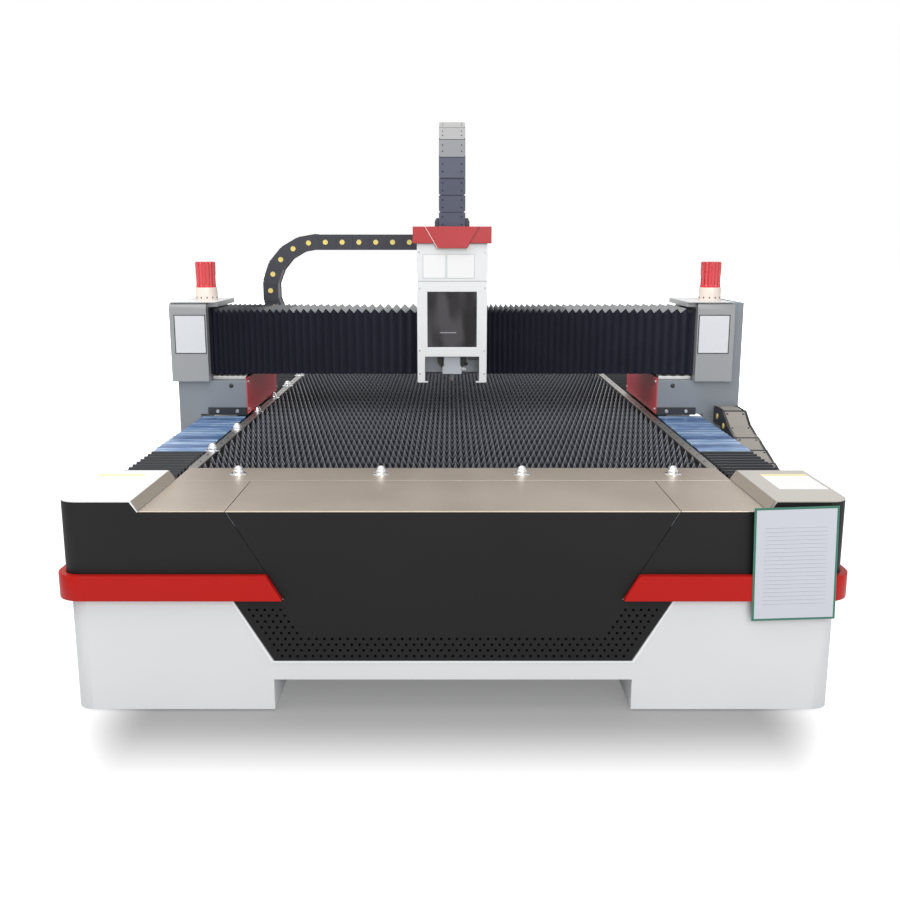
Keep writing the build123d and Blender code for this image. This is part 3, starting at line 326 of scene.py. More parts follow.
def mirrored(bm, outline, low, high, finishes=(0, 0)):
    """Extrudes an outline in X and Z from low to high along Y, on the left and on the right."""
    for side, finish in zip((-1, 1), finishes):
        prism(bm, [(side * x, z) for x, z in outline], low, high, 1, finish)


skirt_white = sprayed("white powder coat", "#D7D9DA", "#CFD1D3", 0.42)
dress(skirt_white, "front_skirt", "side_covers", "rear_cover", edge=1.2 * mm)
bm = bmesh.new()
foot_half = panel_low_half - panel_slant * (skirt_high.z - panel_foot)
slanted = [
    (panel_low_half, skirt_high.z), (foot_half, panel_foot),
    (foot_half + lip_width, panel_foot - lip_width), (panel_low_half + lip_width, skirt_high.z),
]
mirrored(bm, slanted, front_y - lip_proud, front_y + lip_proud)
level = [
    (-foot_half, panel_foot), (foot_half, panel_foot), (foot_half + lip_width, panel_foot - lip_width),
    (-foot_half - lip_width, panel_foot - lip_width),
]
prism(bm, level, front_y - lip_proud, front_y + lip_proud, 1)
# Painted highlight: the turned edges take a lighter copy of the skirt's white.
painted_highlight_white = sprayed("white powder coat, painted lighter on the turned edges", "#E4E6E7", "#DEE0E1", 0.4)
fit(piece("skirt_lips", bm, painted_highlight_white), "bed", "skirt_white")

# Centre panel and front covers: black sheets that hook on behind the stripes and the table plates.
# Satin black powder coat; the low part of the panel is punched with staggered round holes.
hole_radius = 3.8 * mm
hole_pitch_x = 21 * mm
hole_pitch_z = 16.5 * mm
hole_margin = 14 * mm
hole_band = 118 * mm
hole_band_height = 68 * mm
hole_sink = 0.4 * mm
hole_columns = 40
cover_black = sprayed("satin black powder coat", "#1F1F20", "#1A1A1B", 0.55, peel_depth=0.2, gloss=0.15)
dress(cover_black, "front_covers", "centre_panel", edge=1.2 * mm)


def dark(name, colour, roughness, gloss=0.2):
    """A shadowed or sooty surface: near black, with a little uneven dust."""
    material, tree, place = new_material(name)
    dust = add(tree, "ShaderNodeTexNoise", {"Vector": place, "Scale": 1 / (30 * mm), "Detail": 3.0})
    ramp = add(tree, "ShaderNodeHueSaturation", {"Color": linear(colour), "Value": dust})
    coat(tree, {"Base Color": ramp, "Roughness": roughness, "Specular IOR Level": gloss})
    return material


hole_dark = dark("shadow inside a punched hole", "#0C0C0C", 0.9, gloss=0.0)
hole = turned_piece("hole_shape", [(hole_radius, 0), (hole_radius, hole_sink)], sides=10)
forward = (0, -1, 0)
hole_spots = []
hole_rows = int((skirt_high.z - panel_foot - hole_margin) / hole_pitch_z)
for row in range(hole_rows):
    z = panel_foot + hole_margin + hole_pitch_z * row
    half = panel_low_half - panel_slant * (skirt_high.z - z) - hole_margin
    for column in range(-hole_columns, hole_columns + 1):
        x = hole_pitch_x * (column + 0.5 * (row % 2))
        near_side = half - hole_band < abs(x) < half
        low_band = abs(x) < half and z < panel_foot + hole_band_height
        if near_side or low_band:
            hole_spots.append((Vector((x, front_y, z)), right, forward))
fit(set_out("panel_holes", hole, hole_spots, hole_dark), "bed", "cover_black")

# Red stripes: raised folded bands that start at the slanted seams and run round to the sides.
# Bright red powder coat with a satin surface.
stripe_red = sprayed("red powder coat", "#B81A14", "#AC1712", 0.4, gloss=0.15)
dress(stripe_red, "red_stripes", edge=2.5 * mm)

# Corner pads: folded lids on the cabinet's two front corners.
# Off-white powder coat, smoother than the skirt; the right pad is painted duller and warmer, as painted
# shade and reflection.
# Painted shade and reflection: the tone shifts along X between these two places, darkening the right pad.
painted_shade_from, painted_shade_to = -200 * mm, 200 * mm
pad_white = sprayed("off-white powder coat", "#E9EAEB", "#B3ADA5", 0.3, across=(painted_shade_from, painted_shade_to))
dress(pad_white, "corner_pads", edge=2 * mm)

# Pad edge strips and stickers: a thin strip down each pad's slope, and a plain foil sheet on its top.
# The strip is grey-beige, a painted reflection of the table plates on the slope; the sheet is matt white
# vinyl with a pale yellow band along the back.
pads_low, pads_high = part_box("corner_pads")
strip_low = (828 * mm, 565 * mm)
strip_high = (846 * mm, 591 * mm)
strip_thick = 1.2 * mm
strip_inset = 2 * mm
sticker_width = 135 * mm
sticker_depth = 185 * mm
sticker_band = 25 * mm
sticker_edge = 11 * mm
sticker_front = 133 * mm
sticker_thick = 0.4 * mm


def rectangle(left, low, right, high):
    """The corners of an upright rectangle."""
    return [(left, low), (right, low), (right, high), (left, high)]


# Painted reflection: the warm grey of the table plates, laid as a strip on each pad's slope.
painted_reflection_strip = sprayed("grey-beige painted reflection on the pad slopes", "#A0978B", "#92897D", 0.4)
bm = bmesh.new()
slope = [
    strip_low, strip_high, (strip_high[0] - strip_thick, strip_high[1] + strip_thick),
    (strip_low[0] - strip_thick, strip_low[1] + strip_thick),
]
mirrored(bm, slope, pads_low.y + strip_inset, pads_high.y - strip_inset)
fit(piece("pad_edge_strips", bm, painted_reflection_strip), "bed", "plate_steel")
vinyl_white = sprayed("matt white vinyl", "#F4F4F3", "#EDEDEC", 0.6)
vinyl_yellow = sprayed("pale yellow vinyl", "#EFE7B4", "#E8DFA6", 0.6)
bm = bmesh.new()
for side in (-1, 1):
    inner = side * (pads_high.x - sticker_edge - sticker_width)
    outer = side * (pads_high.x - sticker_edge)
    near = pads_low.y + sticker_front
    band = near + sticker_depth - sticker_band
    for finish, (start, end) in enumerate(((near, band), (band, near + sticker_depth))):
        corners = rectangle(inner, start, outer, end)
        prism(bm, corners, pads_high.z, pads_high.z + sticker_thick, 2, finish)
fit(piece("pad_stickers", bm, vinyl_white, vinyl_yellow), "bed", "pad_white")

# Document sleeve: a clear pocket with a folder of blank forms, hung on the right of the front.
# Pale paper behind PVC with a welded green edge; the forms are ruled, without any writing.
sleeve_width = 221 * mm
sleeve_height = 310 * mm
sleeve_middle = (900 * mm, 427 * mm)
sleeve_tilt = math.radians(1.8)
sleeve_thick = 2 * mm
sleeve_rim = 6 * mm
rule_inset = 28 * mm
rule_pitch = 11 * mm
rule_height = 0.9 * mm
rule_rows = 20
paper = sprayed("paper behind clear PVC", "#C7C9D1", "#BFC2CB", 0.3, gloss=0.3)
green_edge = sprayed("green PVC edge", "#1F6B55", "#1B5E4B", 0.4)
rule_grey = sprayed("grey ruled lines", "#9EA3B0", "#969BA8", 0.6)
stripe_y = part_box("red_stripes")[0].y
bm = bmesh.new()
half = sleeve_width / 2
tall = sleeve_height / 2
page = (half - sleeve_rim, tall - sleeve_rim)
sheets = [
    (rectangle(-half, -tall, half, tall), 0.0, sleeve_thick, 1),
    (rectangle(-page[0], -page[1], *page), 0.0, 1.2 * sleeve_thick, 0),
]
for i in range(rule_rows):
    z = tall - 2 * rule_inset - rule_pitch * i
    ruled = rectangle(rule_inset - half, z, half - rule_inset, z + rule_height)
    sheets.append((ruled, sleeve_thick, 1.3 * sleeve_thick, 2))
for outline, near, far, finish in sheets:
    turned = [Matrix.Rotation(sleeve_tilt, 2) @ Vector(corner) for corner in outline]
    corners = [(sleeve_middle[0] + x, sleeve_middle[1] + z) for x, z in turned]
    prism(bm, corners, stripe_y - far, stripe_y - near, 1, finish)
fit(piece("document_sleeve", bm, paper, green_edge, rule_grey), "bed", "pad_white")

# Table plates, front apron and rear deck: bare sheet laid on the frame, brushed from side to side.
# Stainless steel with a warm satin sheen and a fine grain along X, drawn coarse so that it shows.
plate_steel = metal(
    "brushed stainless sheet", "#C9BDAE", 0.4, 40 * mm, stretch=(1, 30, 30), depth=0.25, tint="#B1A598"
)
dress(plate_steel, "table_plates", "front_apron", "rear_deck", edge=1.2 * mm)

# Slat rails, guideways, runners and trays: the rails that hold the slats, and the ground rails of the axes.
# Bare steel, greyed by dust from the cut; a row of bolt holes runs along each slat rail.
rail_steel = metal("ground rail steel", "#A9A7A2", 0.42, 12 * mm, stretch=(20, 1, 20), tint="#8E8C88")
dress(rail_steel, "slat_rails", "y_guideways", "x_guideways", "y_runners", "x_runners", edge=0.8 * mm)
rail_slot_pitch = 100 * mm
rail_slot_size = 4.5 * mm
rail_slot_inset = 16 * mm
rail_slot_depth = 0.3 * mm
rails_low, rails_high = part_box("slat_rails")
rail_line = rails_low.x + rail_slot_inset
slot_profile = [(rail_slot_size, -rail_slot_depth), (rail_slot_size, rail_slot_depth)]
slot_shape = turned_piece("slot_shape", slot_profile, sides=10)
slot_count = int((rails_high.y - rails_low.y) / rail_slot_pitch)
slot_spots = []
for i in range(1, slot_count):
    for side in (-1, 1):
        spot = Vector((side * -rail_line, rails_low.y + rail_slot_pitch * i, rails_high.z))
        slot_spots.append((spot, right, up))
fit(set_out("rail_bolt_holes", slot_shape, slot_spots, hole_dark), "bed", "rail_steel")
tray_steel = metal("dusty tray steel", "#6E6B68", 0.6, 25 * mm, tint="#57534F")
dress(tray_steel, "slag_trays")

# Saw slats: upright strips of cut sheet dropped into the rails, with pointed teeth along the top.
# Hot-rolled steel with dark mill scale on the faces, painted paler towards the tooth tips as painted light;
# the laser-cut edges of the teeth are bright.
slat_tooth_pitch = 19 * mm
slat_tooth_height = 27 * mm
slat_thick = 4 * mm
slat_count = 30
slats_low, slats_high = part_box("saw_slats")
root_z = slats_high.z - slat_tooth_height


def scaled_sheet():
    """Mill scale on the sheet's faces and bare cut steel on its edges, told apart by their normals; painted
    light pales the faces towards the tooth tips.
    """
    material, tree, place = new_material("hot-rolled sheet with bright cut edges")
    normal = add(tree, "ShaderNodeNewGeometry").outputs["Normal"]
    ways = add(tree, "ShaderNodeSeparateXYZ", {"Vector": normal})
    flat = add(tree, "ShaderNodeMath", {0: ways.outputs["Y"]}, operation="ABSOLUTE")
    soot = add(tree, "ShaderNodeTexNoise", {"Vector": place, "Scale": 1 / (350 * mm), "Detail": 6.0})
    scale_tone = add(
        tree, "ShaderNodeMix", {0: soot, 6: linear("#0E0F12"), 7: linear("#36373F")}, data_type="RGBA"
    )
    # Painted light: the faces grow paler with height, up to the tooth tips.
    level = add(tree, "ShaderNodeSeparateXYZ", {"Vector": place})
    teeth = {"Value": level.outputs["Z"], "From Min": root_z, "From Max": slats_high.z}
    height = add(tree, "ShaderNodeMapRange", teeth)
    tip_light = add(tree, "ShaderNodeMix", {0: height, 6: scale_tone, 7: linear("#8F929C")}, data_type="RGBA")
    tone = add(tree, "ShaderNodeMix", {0: flat, 6: linear("#F2F3F5"), 7: tip_light}, data_type="RGBA")
    bare = add(tree, "ShaderNodeMapRange", {"Value": flat, "To Min": 0.9, "To Max": 0.2})
    coat(tree, {"Base Color": tone, "Metallic": bare, "Roughness": 0.42, "Specular IOR Level": 0.3})
    return material


slat_steel = scaled_sheet()
tooth_count = round((slats_high.x - slats_low.x) / slat_tooth_pitch)
tooth_step = (slats_high.x - slats_low.x) / tooth_count
outline = [(slats_low.x, slats_low.z), (slats_high.x, slats_low.z)]
for i in range(tooth_count):
    outline.append((slats_high.x - tooth_step * i, root_z))
    outline.append((slats_high.x - tooth_step * (i + 0.5), slats_high.z))
outline.append((slats_low.x, root_z))
bm = bmesh.new()
prism(bm, outline, -slat_thick / 2, slat_thick / 2, 1)
slat = piece("slat_shape", bm)
slat_first = slats_low.y + slat_thick / 2
slat_step = (slats_high.y - slats_low.y - slat_thick) / (slat_count - 1)
slat_spots = [(Vector((0, slat_first + slat_step * i, 0)), right, up) for i in range(slat_count)]
fit(set_out("saw_slats_cut", slat, slat_spots, slat_steel), "bed", "slat_steel", "saw_slats")

# Ball transfer units: pressed flanged cups with a free steel ball, screwed to the apron and left rail.
# Bright chrome-plated steel; the sheet rolls on them when it is loaded.
flange_radius = 26 * mm
flange_height = 3 * mm
cup_radius = 16 * mm
cup_height = 14 * mm
ball_radius = 13 * mm
balls_low, balls_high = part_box("ball_units")
apron_low, apron_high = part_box("front_apron")
table_z = balls_low.z
rail_reach = 830 * mm
ball_shares = (-0.787, -0.263, 0.254, 0.809)
side_units = 7
side_pitch = 400 * mm
chrome = metal("bright chrome plate", "#DCDDDF", 0.2, 6 * mm, depth=0.02)
bm = bmesh.new()
cup = [
    (flange_radius, 0), (flange_radius, 0.6 * flange_height),
    (flange_radius - 0.6 * flange_height, flange_height), (cup_radius + 1 * mm, flange_height),
    (cup_radius, 1.4 * flange_height), (cup_radius, 0.75 * cup_height),
    (cup_radius - 1 * mm, 0.95 * cup_height), (ball_radius, cup_height + 1 * mm), (0, cup_height + 1 * mm),
]
lathe(bm, [(0, 0)] + cup)
bmesh.ops.create_uvsphere(
    bm, u_segments=20, v_segments=12, radius=ball_radius,
    matrix=Matrix.Translation((0, 0, balls_high.z - table_z - ball_radius)),
)
unit = piece("unit_shape", bm, smooth=True)
apron_middle = (apron_low.y + apron_high.y) / 2
unit_spots = [(Vector((share * rail_reach, apron_middle, table_z)), right, up) for share in ball_shares]
rail_x = balls_low.x + flange_radius
last_y = balls_high.y - flange_radius
unit_spots += [(Vector((rail_x, last_y - side_pitch * i, table_z)), right, up) for i in range(side_units)]
fit(set_out("ball_transfer_units", unit, unit_spots, chrome), "bed", "ball_steel", "ball_units")

# Front bellows and rear bellows: pleated covers over the Y ways, fixed at the bed's ends and the gantry.
# Coated black fabric on thin stiffeners; on the machine the folds close up and open out as the gantry
# travels, here they stay as drawn.
front_pitch = 40 * mm
rear_pitch = 60 * mm
fold_depth = 18 * mm
fabric_thick = 2 * mm
welt_height = 3 * mm
gantry_low, gantry_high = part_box("saddle_left")


def woven(name, colour, shade, roughness, thread=2 * mm):
    """Coated fabric: a plain weave under a thin satin coat, with worn, dusty patches."""
    material, tree, place = new_material(name)
    wear = add(tree, "ShaderNodeTexNoise", {"Vector": place, "Scale": 1 / (90 * mm), "Detail": 4.0})
    tone = add(tree, "ShaderNodeMix", {0: wear, 6: linear(colour), 7: linear(shade)}, data_type="RGBA")
    weave = add(tree, "ShaderNodeTexChecker", {"Vector": place, "Scale": 1 / thread})
    bump = add(
        tree, "ShaderNodeBump", {"Height": weave.outputs["Fac"], "Strength": 0.15, "Distance": 0.1 * mm}
    )
    coat(tree, {"Base Color": tone, "Roughness": roughness, "Specular IOR Level": 0.2, "Normal": bump})
    return material


def folded_strip(bm, near, far, top, x_low, x_high, pitch, depth):
    """A strip that zigzags along Y with an upright welt on every ridge, as a closed sheet."""
    count = round((far - near) / pitch)
    rows = []
    welts = []
    for i in range(2 * count + 1):
        y = near + (far - near) * i / (2 * count)
        levels = [top - depth] if i % 2 == 0 else [top - welt_height, top]
        if i % 2:
            welts.append(len(rows))
        for z in levels:
            lean = 1 * mm if z == top else 0.0
            section = [(x_low, 0), (x_high, 0), (x_high, fabric_thick), (x_low, fabric_thick)]
            rows.append([bm.verts.new((x, y + lean, z - t)) for x, t in section])
    for number, (a, b) in enumerate(zip(rows, rows[1:])):
        for i in range(4):
            j = (i + 1) % 4
            face = bm.faces.new((a[i], a[j], b[j], b[i]))
            face.material_index = 1 if number in welts else 0
    bm.faces.new(rows[0])
    bm.faces.new(rows[-1])


way_black = woven("coated black fabric", "#26272B", "#1B1C1F", 0.45)
# Painted highlight: the welt on each ridge is drawn in a lighter grey than the black fabric.
ridge_highlight_grey = woven("fabric with a painted highlight on the ridges", "#55575B", "#48494D", 0.5)
ways_low, ways_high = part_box("front_bellows")
rear_low, rear_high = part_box("rear_bellows")
way_width = 177 * mm
for name, low, high, start, end, pitch in (
    ("front_bellows", ways_low, ways_high, ways_low.y, gantry_low.y, front_pitch),
    ("rear_bellows", rear_low, rear_high, rear_high.y, gantry_high.y, rear_pitch),
):
    bm = bmesh.new()
    for x_low in (low.x, high.x - way_width):
        folded_strip(bm, low.y, high.y, high.z, x_low, x_low + way_width, pitch, fold_depth)
    made = piece(f"{name}_folds", bm, way_black, ridge_highlight_grey)
    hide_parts(name)
    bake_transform(made)

# Lamella covers: overlapping spring-steel plates over the ways, linked like roof tiles.
# They still wear their blue protective film, streaked and creased along the plates, with a painted shadow
# where each plate laps under the one before.
lamella_pitch = 50 * mm
lamella_lap = 12 * mm
lamella_rise = 6 * mm
lamella_thick = 2 * mm
lamella_low, lamella_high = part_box("lamella_covers")


def filmed():
    """Blue film on steel: pale streaks along each plate, a painted shadow where it lies under the plate
    before, and creases where the film lifts.
    """
    material, tree, place = new_material("blue film on spring steel")
    along = add(tree, "ShaderNodeMapping", {"Vector": place, "Scale": (4, 30, 30)})
    streak = add(
        tree, "ShaderNodeTexNoise",
        {"Vector": along, "Scale": 1 / (400 * mm), "Detail": 5.0, "Distortion": 0.6},
    )
    ways = add(tree, "ShaderNodeSeparateXYZ", {"Vector": place})
    shifted = add(tree, "ShaderNodeMath", {0: ways.outputs["Y"], 1: lamella_low.y}, operation="SUBTRACT")
    number = add(tree, "ShaderNodeMath", {0: shifted, 1: lamella_pitch}, operation="DIVIDE")
    whole = add(tree, "ShaderNodeMath", {0: number}, operation="FLOOR")
    chance = add(tree, "ShaderNodeTexWhiteNoise", {"W": whole}, noise_dimensions="1D")
    own = add(tree, "ShaderNodeMath", {0: chance, 1: 0.4, 2: streak}, operation="MULTIPLY_ADD")
    shade = add(tree, "ShaderNodeMath", {0: own, 1: 0.2}, operation="SUBTRACT")
    film = add(tree, "ShaderNodeValToRGB", {"Fac": shade})
    film.color_ramp.elements[0].position = 0.3
    film.color_ramp.elements[0].color = linear("#3F5F92")
    film.color_ramp.elements[1].position = 0.72
    film.color_ramp.elements[1].color = linear("#A9C4E2")
    middle = film.color_ramp.elements.new(0.5)
    middle.color = linear("#6C90C0")
    # Painted shadow: the film darkens at the start of each plate, under the lap of the plate before.
    within = add(tree, "ShaderNodeMath", {0: number}, operation="FRACT")
    lap_shadow = add(tree, "ShaderNodeMapRange", {"Value": within, "From Max": 0.3, "To Min": 0.75, "To Max": 0.0})
    lap_shaded = add(tree, "ShaderNodeMix", {0: lap_shadow, 6: film, 7: linear("#2F4A78")}, data_type="RGBA")
    bump = add(tree, "ShaderNodeBump", {"Height": streak, "Strength": 0.3, "Distance": 0.6 * mm})
    coat(tree, {"Base Color": lap_shaded, "Metallic": 0.25, "Roughness": 0.3, "Normal": bump})
    return material


lamella_film = filmed()
lamella_count = round((lamella_high.y - lamella_low.y) / lamella_pitch)
lamella_step = (lamella_high.y - lamella_low.y) / lamella_count
bm = bmesh.new()
for x_low in (lamella_low.x, lamella_high.x - way_width):
    for i in range(lamella_count):
        near = lamella_low.y + lamella_step * i
        far = min(near + lamella_step + lamella_lap, lamella_high.y)
        low = lamella_high.z - lamella_rise
        tile = [
            (near, low), (far, lamella_high.z), (far, lamella_high.z - lamella_thick),
            (near, low - lamella_thick),
        ]
        prism(bm, tile, x_low, x_low + way_width, 0)
lamellas = piece("lamella_plates", bm, lamella_film)
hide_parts("lamella_covers")
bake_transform(lamellas)

# Saddles and beam: welded steel boxes that carry the gantry on the Y rails, and the tube across them.
# Blue-grey powder coat, as on the X chain's tray and arm; lighter grey on the end boxes and the trough.
gantry_grey = sprayed("blue-grey powder coat", "#858B92", "#7A8087", 0.4)
dress(gantry_grey, "saddle_left", "saddle_right", "beam", "x_chain_tray", "chain_arm", edge=2 * mm)
box_grey = sprayed("light grey powder coat", "#9D9FA1", "#949698", 0.38)
dress(box_grey, "end_box_left", "end_box_right", "y_chain_trough", edge=2.5 * mm)

# End box lids, blank plates and bellows feet: a lid and a bare plate on each end box, and a bar under it.
# Near-white coat on the lids, pale lacquered plates with a dark rim, cast aluminium bars on the saddles.
lid_thick = 1 * mm
lid_inset = 4 * mm
blank_width = 126 * mm
blank_height = 156 * mm
blank_rim = 4 * mm
blank_depths = (1 * mm, 1.4 * mm)
blank_x = 1049 * mm
blank_z = 900 * mm
foot_bar = (845 * mm, 980 * mm)
foot_bar_y = (-762 * mm, -722 * mm)
foot_bar_height = 22 * mm
foot_bar_chamfer = 8 * mm
box_low, box_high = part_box("end_box_left")


def block(bm, low, high):
    """A box between two corners."""
    middle = (Vector(low) + Vector(high)) / 2
    size = Vector(high) - Vector(low)
    bmesh.ops.create_cube(bm, size=1, matrix=Matrix.Translation(middle) @ Matrix.Diagonal((*size, 1)))


def rimmed(bm, left, low, right, high, rim, wall_y, depths):
    """A flat plate on a wall that faces the front, with a raised field inside its rim."""
    for inset, depth, finish in ((0.0, depths[0], 1), (rim, depths[1], 0)):
        corners = rectangle(left + inset, low + inset, right - inset, high - inset)
        prism(bm, corners, wall_y - depth, wall_y, 1, finish)


lid_white = sprayed("near-white powder coat", "#E6E8E9", "#DEE0E1", 0.4)
bm = bmesh.new()
for side in (-1, 1):
    inner = side * (-box_high.x + lid_inset)
    outer = side * (-box_low.x - lid_inset)
    low_x, high_x = min(inner, outer), max(inner, outer)
    block(
        bm, (low_x, box_low.y + lid_inset, box_high.z),
        (high_x, box_high.y - lid_inset, box_high.z + lid_thick),
    )
fit(piece("end_box_lids", bm, lid_white), "gantry", "gantry_grey")
plate_blank = metal(
    "lacquered plate", "#D8DADE", 0.5, 15 * mm, stretch=(1, 10, 10), tint="#D2D4D8", bare=0.1
)
rim_dark = dark("dark printed rim", "#6A6D70", 0.6)
bm = bmesh.new()
for side in (-1, 1):
    left = side * blank_x - blank_width / 2
    low = blank_z - blank_height / 2
    rimmed(bm, left, low, left + blank_width, low + blank_height, blank_rim, box_low.y, blank_depths)
fit(piece("end_box_blank_plates", bm, plate_blank, rim_dark), "gantry", "gantry_grey")
cast_alloy = metal("sand-cast aluminium", "#C2C3C2", 0.5, 5 * mm, tint="#B2B3B3")
bm = bmesh.new()
for side in (-1, 1):
    outline = [
        (foot_bar_y[0], gantry_high.z), (foot_bar_y[1], gantry_high.z),
        (foot_bar_y[1], gantry_high.z + foot_bar_height),
        (foot_bar_y[0] + foot_bar_chamfer, gantry_high.z + foot_bar_height),
        (foot_bar_y[0], gantry_high.z + 0.6 * foot_bar_height),
    ]
    prism(bm, outline, side * foot_bar[0], side * foot_bar[1], 0)
fit(piece("bellows_foot_bars", bm, cast_alloy, edge=2 * mm), "gantry", "alloy")

# Saddle guards and wiper brackets: thin plates screwed to the saddles' inner and front faces.
# Red and near-black paint, with bright socket screws in the corners.
guard_red = sprayed("red paint", "#F24C58", "#DE444F", 0.4)
dress(guard_red, "saddle_guards", edge=0.8 * mm)
bracket_black = sprayed("navy black paint", "#22262C", "#1C2025", 0.4)
dress(bracket_black, "wiper_brackets", edge=0.8 * mm)
screw_head = 8 * mm
screw_height = 6 * mm
socket_radius = 4 * mm
socket_depth = 3 * mm
socket_floor = screw_height - socket_depth
screw_profile = [
    (0, 0), (screw_head, 0), (screw_head, 0.8 * screw_height), (0.85 * screw_head, screw_height),
    (socket_radius, screw_height), (socket_radius, socket_floor), (0, socket_floor),
]
screw = turned_piece("screw_shape", screw_profile, sides=12)
guard_low, guard_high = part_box("saddle_guards")
wiper_low, wiper_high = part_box("wiper_brackets")
guard_inset = 18 * mm
guard_sink = 3 * mm
wiper_length = 159 * mm
wiper_bolt_shares = (0.25, 0.75)
gantry_screws = []
for side in (-1, 1):
    for y in (guard_low.y + guard_inset, guard_high.y - guard_inset):
        for z in (guard_low.z + guard_inset, guard_high.z - guard_inset):
            middle = (guard_low.x + guard_high.x) / 2
            face = middle + side * ((guard_high.x - guard_low.x) / 2 - guard_sink)
            gantry_screws.append((Vector((face, y, z)), up, (-side, 0, 0)))
    for share in wiper_bolt_shares:
        x = side * (wiper_high.x - wiper_length * (1 - share))
        spot = Vector((x, wiper_low.y, (wiper_low.z + wiper_high.z) / 2))
        gantry_screws.append((spot, right, forward))
gantry_bolts = set_out("gantry_socket_screws", screw, gantry_screws, zinc, size=0.9, keep=True)
fit(gantry_bolts, "gantry", "rail_steel")

# Saddle plugs: push-in plastic caps over the lifting holes on the saddles' front faces.
# Black moulded nylon, slightly domed.
plug_radius = 9 * mm
plug_x = 898 * mm
plug_z = 690 * mm


def moulded(name, colour, roughness, grain=1.5 * mm, depth=0.08):
    """Moulded plastic with a fine spark-eroded texture."""
    material, tree, place = new_material(name)
    spark = add(tree, "ShaderNodeTexNoise", {"Vector": place, "Scale": 1 / grain, "Detail": 2.0})
    cloud = add(tree, "ShaderNodeTexNoise", {"Vector": place, "Scale": 1 / (120 * mm), "Detail": 2.0})
    value = add(tree, "ShaderNodeMapRange", {"Value": cloud, "To Min": 0.92, "To Max": 1.08})
    tone = add(tree, "ShaderNodeHueSaturation", {"Color": linear(colour), "Value": value})
    bump = add(tree, "ShaderNodeBump", {"Height": spark, "Strength": depth, "Distance": 0.05 * mm})
    coat(tree, {"Base Color": tone, "Roughness": roughness, "Normal": bump})
    return material


plug_black = moulded("black nylon", "#1B1C1F", 0.45)
dome = [(0, 0), (plug_radius, 0), (plug_radius, 1 * mm), (0.6 * plug_radius, 3 * mm), (0, 3 * mm)]
plug = turned_piece("plug_shape", dome, smooth=True)
plug_spots = [(Vector((side * plug_x, gantry_low.y, plug_z)), right, forward) for side in (-1, 1)]
fit(set_out("saddle_plugs", plug, plug_spots, plug_black), "gantry", "bracket_black")

# Y drives and X drive: servo motors on planetary gearboxes, bolted to the saddles and the carriage.
# Black paint over cast aluminium; the pinions on their shafts are ground steel.
motor_black = sprayed("black motor paint", "#2B2B2E", "#232326", 0.45)
dress(motor_black, "y_drives", "x_drive", edge=2 * mm)
dress(rail_steel, "y_pinion_left", "y_pinion_right", "x_pinion")

# Beacons: a ribbed lens on a short base at each end of the gantry.
# Red polycarbonate that lets a little light in, its ribs' upright faces paler as a painted highlight, on a
# cream ABS base with small vents round it.
bases_low, bases_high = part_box("beacon_bases")
lenses_low, lenses_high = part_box("beacon_lenses")
base_radius = (bases_high.y - bases_low.y) / 2
lens_radius = (lenses_high.y - lenses_low.y) / 2
lens_height = lenses_high.z - lenses_low.z
lens_rib = 2.4 * mm
lens_taper = 0.985
vent_width = 4 * mm
vent_height = 7 * mm
vent_count = 12
vent_rise = 12 * mm
beacon_spots = [
    Vector((bases_low.x + base_radius, (bases_low.y + bases_high.y) / 2, 0)),
    Vector((bases_high.x - base_radius, (bases_low.y + bases_high.y) / 2, 0)),
]
beacon_cream = moulded("cream ABS", "#F1E3D8", 0.35)
dress(beacon_cream, "beacon_bases", edge=2 * mm)


def lens_plastic(name, colour, shade):
    """Red polycarbonate: clear enough to glow a little inside, with a glossy skin."""
    material, tree, place = new_material(name)
    depth = add(tree, "ShaderNodeTexNoise", {"Vector": place, "Scale": 1 / (25 * mm), "Detail": 2.0})
    tone = add(tree, "ShaderNodeMix", {0: depth, 6: linear(colour), 7: linear(shade)}, data_type="RGBA")
    depths = {"Subsurface Weight": 0.25, "Subsurface Radius": (0.02, 0.004, 0.004)}
    coat(tree, {"Base Color": tone, "Roughness": 0.25, "Coat Weight": 0.15, **depths})
    return material


beacon_red = lens_plastic("red polycarbonate", "#CC1822", "#BB121B")
rib_highlight_red = lens_plastic("red polycarbonate with a painted highlight on the ribs", "#E0424A", "#D5343C")
bm = bmesh.new()
for spot in beacon_spots:
    shape = [
        (0, 0), (lens_radius - lens_rib, 0), (lens_radius - lens_rib, 6 * mm),
        (0.97 * lens_radius - lens_rib, 12 * mm),
        (lens_taper * lens_radius - lens_rib, lens_height - 12 * mm),
        (0.92 * lens_radius, lens_height - 5 * mm), (0.8 * lens_radius, lens_height - lens_rib),
        (0, lens_height - lens_rib),
    ]
    lathe(bm, shape, spot + Vector((0, 0, lenses_low.z)), sides=64, rib=lens_rib)
bm.normal_update()
# Painted highlight: the upright outer faces of the ribs take the paler red.
for face in bm.faces:
    middle = face.calc_center_median()
    reach = min((middle - spot).to_2d().length for spot in beacon_spots)
    upright = abs(face.normal.z) < 0.3
    face.material_index = 1 if upright and reach > lens_taper * lens_radius - lens_rib else 0
fit(piece("beacon_lenses_ribbed", bm, beacon_red, rib_highlight_red), "gantry", "beacon_red", "beacon_lenses")
bm = bmesh.new()
vent = rectangle(-vent_width / 2, -vent_height / 2, vent_width / 2, vent_height / 2)
prism(bm, vent, -0.5 * mm, 0.6 * mm, 2)
vent_shape = piece("vent_shape", bm)
vent_spots = []
for spot in beacon_spots:
    for i in range(vent_count):
        angle = math.tau * (i + 0.5) / vent_count
        outward = Vector((math.cos(angle), math.sin(angle), 0))
        wall = spot + outward * base_radius + Vector((0, 0, bases_low.z + vent_rise))
        vent_spots.append((wall, Vector(up).cross(outward), outward))
fit(set_out("beacon_vents", vent_shape, vent_spots, hole_dark), "gantry", "beacon_cream")
